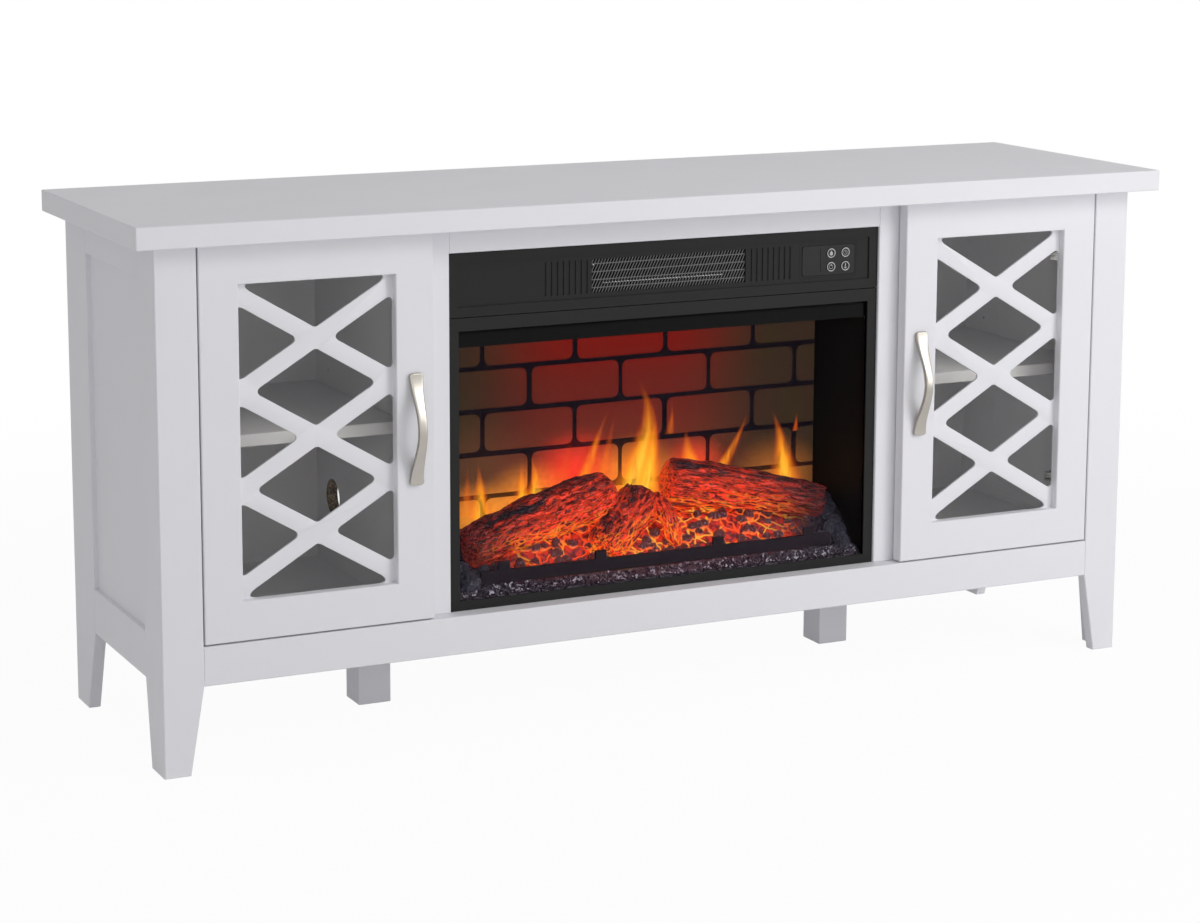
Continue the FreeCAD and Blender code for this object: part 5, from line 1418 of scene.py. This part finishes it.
CROWN_HEIGHT = 0.072
CROWN_END = 0.052
SLOPE_END = 0.113
SLOPE_POWER = 1.55
LEDGE_HEIGHT = 0.022
GRAVEL_START = 0.121
GRAVEL_DEPTH = 0.0145
GRAVEL_FALL = 0.009


def bed_rise(distance):
    """Height of the ember bed above its floor, at a distance from the screen."""
    if distance < CROWN_END:
        return CROWN_HEIGHT
    if distance < SLOPE_END:
        share = (distance - CROWN_END) / (SLOPE_END - CROWN_END)
        return CROWN_HEIGHT - (CROWN_HEIGHT - LEDGE_HEIGHT) * share ** SLOPE_POWER
    return LEDGE_HEIGHT - GRAVEL_FALL * max(0.0, (distance - GRAVEL_START) / GRAVEL_DEPTH)


class CONSOLE_OT_embers(Operator):
    """The bed of embers with its coals and gravel"""
    bl_idname = "console.embers"
    bl_label = "Embers"
    columns = 220
    rows = 54
    crust_drop = 0.002
    coal_band = (0.058, 0.108)
    coal_span = (-0.255, 0.275)
    coal_radius = (0.006, 0.010)
    coal_sink = 0.1
    row_count = 30
    row_band = (0.101, 0.108)
    row_start = -0.25
    row_pitch = 0.0175
    row_jitter = 0.003
    row_radius = (0.0065, 0.009)
    row_lift = 0.003
    heap_count = 16
    heap_band = (0.045, 0.124)
    heap_radius = (0.009, 0.0135)
    heap_spread = 0.016
    heap_side_gap = 1.15
    heap_lift = (-0.002, 0.008)
    stone_band = (0.1215, 0.1350)
    stone_radius = (0.0009, 0.0019)
    stone_side_gap = 0.004
    stone_lift = (-0.001, 0.0015)
    stone_flat = 0.7

    def execute(self, context):
        low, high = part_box("ember_bed")
        self.bed(low, high)
        self.coals(low, high)
        self.gravel(low, high)
        return {"FINISHED"}

    def bed(self, low, high):
        """A sheet shaped into the mound, closed down to the floor."""
        middle = (low + high) / 2
        size = high - low
        piece = begin("ember_mound", bpy.ops.mesh.primitive_grid_add, x_subdivisions=self.columns,
                      y_subdivisions=self.rows, size=1, location=(middle.x, middle.y, low.z),
                      scale=(size.x, size.y, 1))
        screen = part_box("brick_screen")[0].y
        for row in range(self.rows + 1):
            y = low.y + size.y * row / self.rows
            pick("VERT", lambda corner: near(corner.co.y, y))
            bpy.ops.transform.translate(value=(0, 0, bed_rise(screen - y) - self.crust_drop))
        piece.vertex_groups.new(name="crust")
        bpy.ops.mesh.select_all(action="SELECT")
        bpy.ops.object.vertex_group_assign()
        pick("EDGE", lambda edge: edge.is_boundary)
        extrude(z=-0.001)
        bpy.ops.object.vertex_group_remove_from()
        bpy.ops.transform.resize(value=(1, 1, 0), center_override=(0, 0, low.z))
        bpy.ops.mesh.edge_face_add()
        rest()
        lumpy(piece, "CLOUDS", size=0.016, strength=0.012, seed=2.0, direction="Z", vertex_group="crust")
        lumpy(piece, "VORONOI", size=0.012, strength=0.006, seed=4.0, direction="Z", vertex_group="crust")
        turned_out(piece)
        settle(piece, "cabinet", "ember_resin", "ember_crust", "ember_bed", angle=70.0)

    def lump(self, name, detail, rough, seed):
        """A rough rounded lump, for coals and stones."""
        piece = begin(name, bpy.ops.mesh.primitive_ico_sphere_add, subdivisions=detail, radius=1.0)
        spread = random.Random(seed)
        for cut in range(4):
            way = Vector([spread.uniform(-1, 1) for axis in range(3)]).normalized()
            pick("VERT", lambda corner: corner.co.normalized().dot(way) > 0.55)
            bpy.ops.transform.translate(value=way * spread.uniform(-rough, rough * 0.3))
        rest()
        if detail > 2:
            lumpy(piece, "CLOUDS", size=0.6, strength=0.3, seed=seed)
        return piece

    def placed(self, spread, x, y, z, radius, flat=0.8):
        """A place with a random turn, for one lump."""
        turn = Euler([spread.uniform(0, 2 * math.pi) for axis in range(3)]).to_matrix().to_4x4()
        shape = Matrix.Diagonal((radius, radius * spread.uniform(0.8, 1.1), radius * flat, 1))
        return Matrix.Translation((x, y, z)) @ turn @ shape

    def coals(self, low, high):
        """Coals sunk in the slope, a row of them behind the grate and heaps at both ends."""
        spread = random.Random(21)
        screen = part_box("brick_screen")[0].y
        places = []
        for index in range(sizes().coal_count):
            distance = spread.uniform(*self.coal_band)
            x = spread.uniform(*self.coal_span)
            radius = spread.uniform(*self.coal_radius)
            z = low.z + bed_rise(distance) - radius * self.coal_sink
            places.append(self.placed(spread, x, screen - distance, z, radius))
        for index in range(self.row_count):
            distance = spread.uniform(*self.row_band)
            x = self.row_start + self.row_pitch * index + spread.uniform(-self.row_jitter, self.row_jitter)
            radius = spread.uniform(*self.row_radius)
            z = low.z + bed_rise(distance) + self.row_lift
            places.append(self.placed(spread, x, screen - distance, z, radius))
        coals = scattered([self.lump("coal", 3, 0.3, seed) for seed in (1, 2, 3, 4)], places, "ember_coals")
        settle(coals, "cabinet", "ember_resin", "coal_skin", angle=60.0)
        heaps = []
        for side in (-1, 1):
            for index in range(self.heap_count):
                radius = spread.uniform(*self.heap_radius)
                distance = spread.uniform(*self.heap_band)
                x = side * (high.x - radius * self.heap_side_gap - spread.uniform(0.0, self.heap_spread))
                z = low.z + bed_rise(distance) + spread.uniform(*self.heap_lift)
                heaps.append(self.placed(spread, x, screen - distance, z, radius))
        ends = scattered([self.lump("heap", 3, 0.35, seed) for seed in (5, 6, 7)], heaps, "end_coals")
        settle(ends, "cabinet", "ember_resin", "coal_skin", angle=60.0)

    def gravel(self, low, high):
        """Small stones strewn in front of the grate."""
        spread = random.Random(33)
        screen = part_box("brick_screen")[0].y
        places = []
        for index in range(sizes().stone_count):
            distance = spread.uniform(*self.stone_band)
            radius = spread.uniform(*self.stone_radius)
            x = spread.uniform(low.x + self.stone_side_gap, high.x - self.stone_side_gap)
            z = low.z + bed_rise(distance) + spread.uniform(*self.stone_lift)
            places.append(self.placed(spread, x, screen - distance, z, radius, self.stone_flat))
        stones = scattered([self.lump("stone", 1, 0.25, seed) for seed in (1, 2, 3)], places, "gravel")
        settle(stones, "cabinet", "ember_resin", "gravel_skin", angle=20.0)


# Flames

class CONSOLE_OT_flames(Operator):
    """Tongues of flame in front of the bricks"""
    bl_idname = "console.flames"
    bl_label = "Flames"
    columns = 8
    rows = 18
    film = 0.0002
    gap = 0.0015
    step = 0.0006
    taper = 1.3
    tip_share = 0.04
    belly = 0.002
    sway_power = 1.6

    def execute(self, context):
        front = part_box("brick_screen")[0].y
        tongues = [self.tongue(index, front, each) for index, each in enumerate(TONGUES)]
        piece = joined(tongues, "flame_tongues")
        settle(piece, "cabinet", "brick_red", "flame_film")
        return {"FINISHED"}

    def tongue(self, index, front, shape):
        """A thin upright film, drawn in to its tip and swayed."""
        height = shape.tip - shape.foot
        y = front - self.gap - self.step * index
        piece = begin("tongue", bpy.ops.mesh.primitive_grid_add, x_subdivisions=self.columns,
                      y_subdivisions=self.rows, size=1, location=(shape.x, y, shape.foot + height / 2),
                      rotation=(math.pi / 2, 0, 0), scale=(shape.width, height, 1))
        for row in range(self.rows + 1):
            share = row / self.rows
            z = shape.foot + height * share
            wide = max((1 - share) ** self.taper, self.tip_share)
            sway = shape.lean * share + shape.bow * math.sin(math.pi * share ** self.sway_power)
            pick("VERT", lambda corner: near(corner.co.z, z))
            bpy.ops.transform.resize(value=(wide, 1, 1), center_override=(shape.x, y, z))
            bpy.ops.transform.translate(value=(sway, -self.belly * math.sin(math.pi * share), 0))
        rest()
        apply(piece, "SOLIDIFY", thickness=self.film, offset=0)
        turned_out(piece)
        warmth = piece.data.attributes.new("warmth", "FLOAT", "POINT")
        warmth.data.foreach_set("value", [shape.heat] * len(piece.data.vertices))
        return piece


# Screws

class CONSOLE_OT_screws(Operator):
    """Screws of the handles, hinges and rear plate"""
    bl_idname = "console.screws"
    bl_label = "Screws"
    handle_holes = (-0.064, 0.064)
    cup_holes = (-0.0215, 0.0215)
    cup_inset = 0.026
    plate_inset = 0.012
    plate_head_inset = 0.008

    def execute(self, context):
        low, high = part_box("right_handle")
        door_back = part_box("right_door_frame")[1].y
        spots = [Vector(((low.x + high.x) / 2, door_back, (low.z + high.z) / 2 + rise))
                 for rise in self.handle_holes]
        low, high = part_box("right_hinge_cups")
        middle = (low.x + high.x) / 2
        for z in (low.z + self.cup_inset, high.z - self.cup_inset):
            spots += [Vector((middle, high.y, z + rise)) for rise in self.cup_holes]
        turn = Matrix.Rotation(-math.pi / 2, 4, "X")
        places = [Matrix.Translation(spot) @ turn for spot in spots]
        right = scattered([self.screw()], places, "right_door_screws")
        settle(twin(right, "left_door_screws"), "left_door", "plated_steel", "bright_plating")
        settle(right, "right_door", "plated_steel", "bright_plating")
        places = []
        low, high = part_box("insert_back_cover")
        for x in (low.x + self.plate_inset, 0, high.x - self.plate_inset):
            for z in (low.z + self.plate_inset, high.z - self.plate_head_inset):
                places.append(Matrix.Translation((x, high.y, z)) @ turn)
        cover = scattered([self.screw()], places, "rear_plate_screws")
        settle(cover, "cabinet", "plated_steel", "bright_plating")
        return {"FINISHED"}

    def screw(self):
        """A domed head with a cross cut into it, standing on its seat."""
        radius = sizes().screw_radius
        piece = begin("screw", bpy.ops.mesh.primitive_cylinder_add, vertices=24, radius=radius,
                      depth=radius * 0.5, location=(0, 0, radius * 0.25))
        pick("EDGE", lambda edge: all(near(corner.co.z, radius * 0.5) for corner in edge.verts))
        bpy.ops.mesh.bevel(offset=radius * 0.28, segments=3)
        for wide, deep in ((1.1, 0.22), (0.22, 1.1)):
            cutter = begin("cross", bpy.ops.mesh.primitive_cube_add, size=1, location=(0, 0, radius * 0.5),
                           scale=(radius * wide, radius * deep, radius * 0.5))
            rest()
            apply(piece, "BOOLEAN", object=cutter, operation="DIFFERENCE")
            bpy.data.objects.remove(cutter)
        return piece


# Stage

# A large soft lamp: where it stands, the point that it faces, its width and its power in watts
Lamp = namedtuple("Lamp", "name place aim size power")
LAMPS = (
    Lamp("high_lamp", (1.4, -2.6, 2.4), (0.2, -0.1, 0.4), 1.6, 33.5),
    Lamp("low_lamp", (2.2, -2.6, 0.9), (0.15, -0.1, 0.36), 1.4, 18.0),
    Lamp("front_lamp", (-1.0, -3.4, 0.75), (0.0, -0.1, 0.35), 2.2, 7.0),
    Lamp("side_lamp", (-3.2, -0.2, 0.45), (-0.7, 0.0, 0.35), 1.8, 4.5),
    Lamp("back_lamp", (0.8, 3.2, 0.3), (0.0, 0.2, 0.35), 0.8, 12.0),
)


class CONSOLE_OT_stage(Operator):
    """Floor, lamps, background and camera"""
    bl_idname = "console.stage"
    bl_label = "Stage"
    eye = (-1.7380, -3.5306, 1.1499)
    turn = math.radians(25.8422)
    dip = math.radians(9.8229)
    roll = math.radians(0.203)
    lens = 88.122
    shift = -0.1
    ambient = 0.435
    floor_radius = 9.0
    floor_drop = 0.0004

    def execute(self, context):
        floor = begin("floor", bpy.ops.mesh.primitive_circle_add, vertices=96, radius=self.floor_radius,
                      fill_type="NGON", location=(0, 0, -self.floor_drop))
        bpy.ops.mesh.inset(thickness=1.0)
        rest()
        floor.data.materials.append(finish("floor_white"))
        for lamp in LAMPS:
            self.light(context, lamp)
        self.background(context)
        camera = bpy.data.objects.new("camera", bpy.data.cameras.new("camera"))
        context.collection.objects.link(camera)
        camera.location = self.eye
        way = Matrix.Rotation(-self.turn, 3, "Z") @ Matrix.Rotation(math.pi / 2 - self.dip, 3, "X")
        camera.rotation_euler = (way @ Matrix.Rotation(self.roll, 3, "Z")).to_euler()
        camera.data.sensor_width = 36.0
        camera.data.lens = self.lens
        camera.data.shift_y = self.shift
        camera.data.clip_end = 60.0
        context.scene.camera = camera
        context.scene.view_settings.view_transform = "Standard"
        return {"FINISHED"}

    def light(self, context, lamp):
        """Hangs one lamp, unseen by the camera."""
        light = bpy.data.lights.new(lamp.name, "AREA")
        light.shape = "DISK"
        light.size = lamp.size
        light.energy = lamp.power
        holder = bpy.data.objects.new(lamp.name, light)
        context.collection.objects.link(holder)
        holder.visible_camera = False
        holder.location = lamp.place
        holder.rotation_euler = (Vector(lamp.aim) - Vector(lamp.place)).to_track_quat("-Z", "Y").to_euler()

    def background(self, context):
        """White where it is seen, and softer where it lights the console."""
        world = bpy.data.worlds.new("studio")
        context.scene.world = world
        world.use_nodes = True
        tree = world.node_tree
        soft = tree.nodes["Background"]
        soft.inputs["Color"].default_value = (1.0, 1.0, 1.0, 1.0)
        soft.inputs["Strength"].default_value = self.ambient
        white = put(tree, "Background", {"Color": (1.0, 1.0, 1.0, 1.0), "Strength": 1.0}).outputs[0]
        both = put(tree, "MixShader", {0: seen_rays(tree), 1: soft.outputs[0], 2: white}).outputs[0]
        tree.links.new(both, tree.nodes["World Output"].inputs["Surface"])


OPERATORS = (
    CONSOLE_OT_finishes, CONSOLE_OT_lattices, CONSOLE_OT_handles, CONSOLE_OT_vent_mesh, CONSOLE_OT_keys,
    CONSOLE_OT_brick_wall, CONSOLE_OT_logs, CONSOLE_OT_embers, CONSOLE_OT_flames, CONSOLE_OT_screws,
    CONSOLE_OT_stage,
)


class CONSOLE_PT_pieces(Panel):
    """The pieces of the console, in building order"""
    bl_idname = "CONSOLE_PT_pieces"
    bl_label = "Fireplace console"
    bl_space_type = "VIEW_3D"
    bl_region_type = "UI"
    bl_category = "Console"

    def draw(self, context):
        for operator in OPERATORS:
            self.layout.operator(operator.bl_idname)
        for settings in (context.scene.console_sizes, context.scene.console_colors):
            for key in settings.bl_rna.properties.keys():
                if key not in ("rna_type", "name"):
                    self.layout.prop(settings, key)


CLASSES = (ConsoleSizes, ConsoleColors) + OPERATORS + (CONSOLE_PT_pieces,)


def register():
    for each in CLASSES:
        bpy.utils.register_class(each)
    bpy.types.Scene.console_sizes = PointerProperty(type=ConsoleSizes)
    bpy.types.Scene.console_colors = PointerProperty(type=ConsoleColors)


def unregister():
    del bpy.types.Scene.console_colors
    del bpy.types.Scene.console_sizes
    for each in reversed(CLASSES):
        bpy.utils.unregister_class(each)


def main():
    register()
    for operator in OPERATORS:
        family, name = operator.bl_idname.split(".")
        getattr(getattr(bpy.ops, family), name)()


if __name__ == "__main__":
    main()
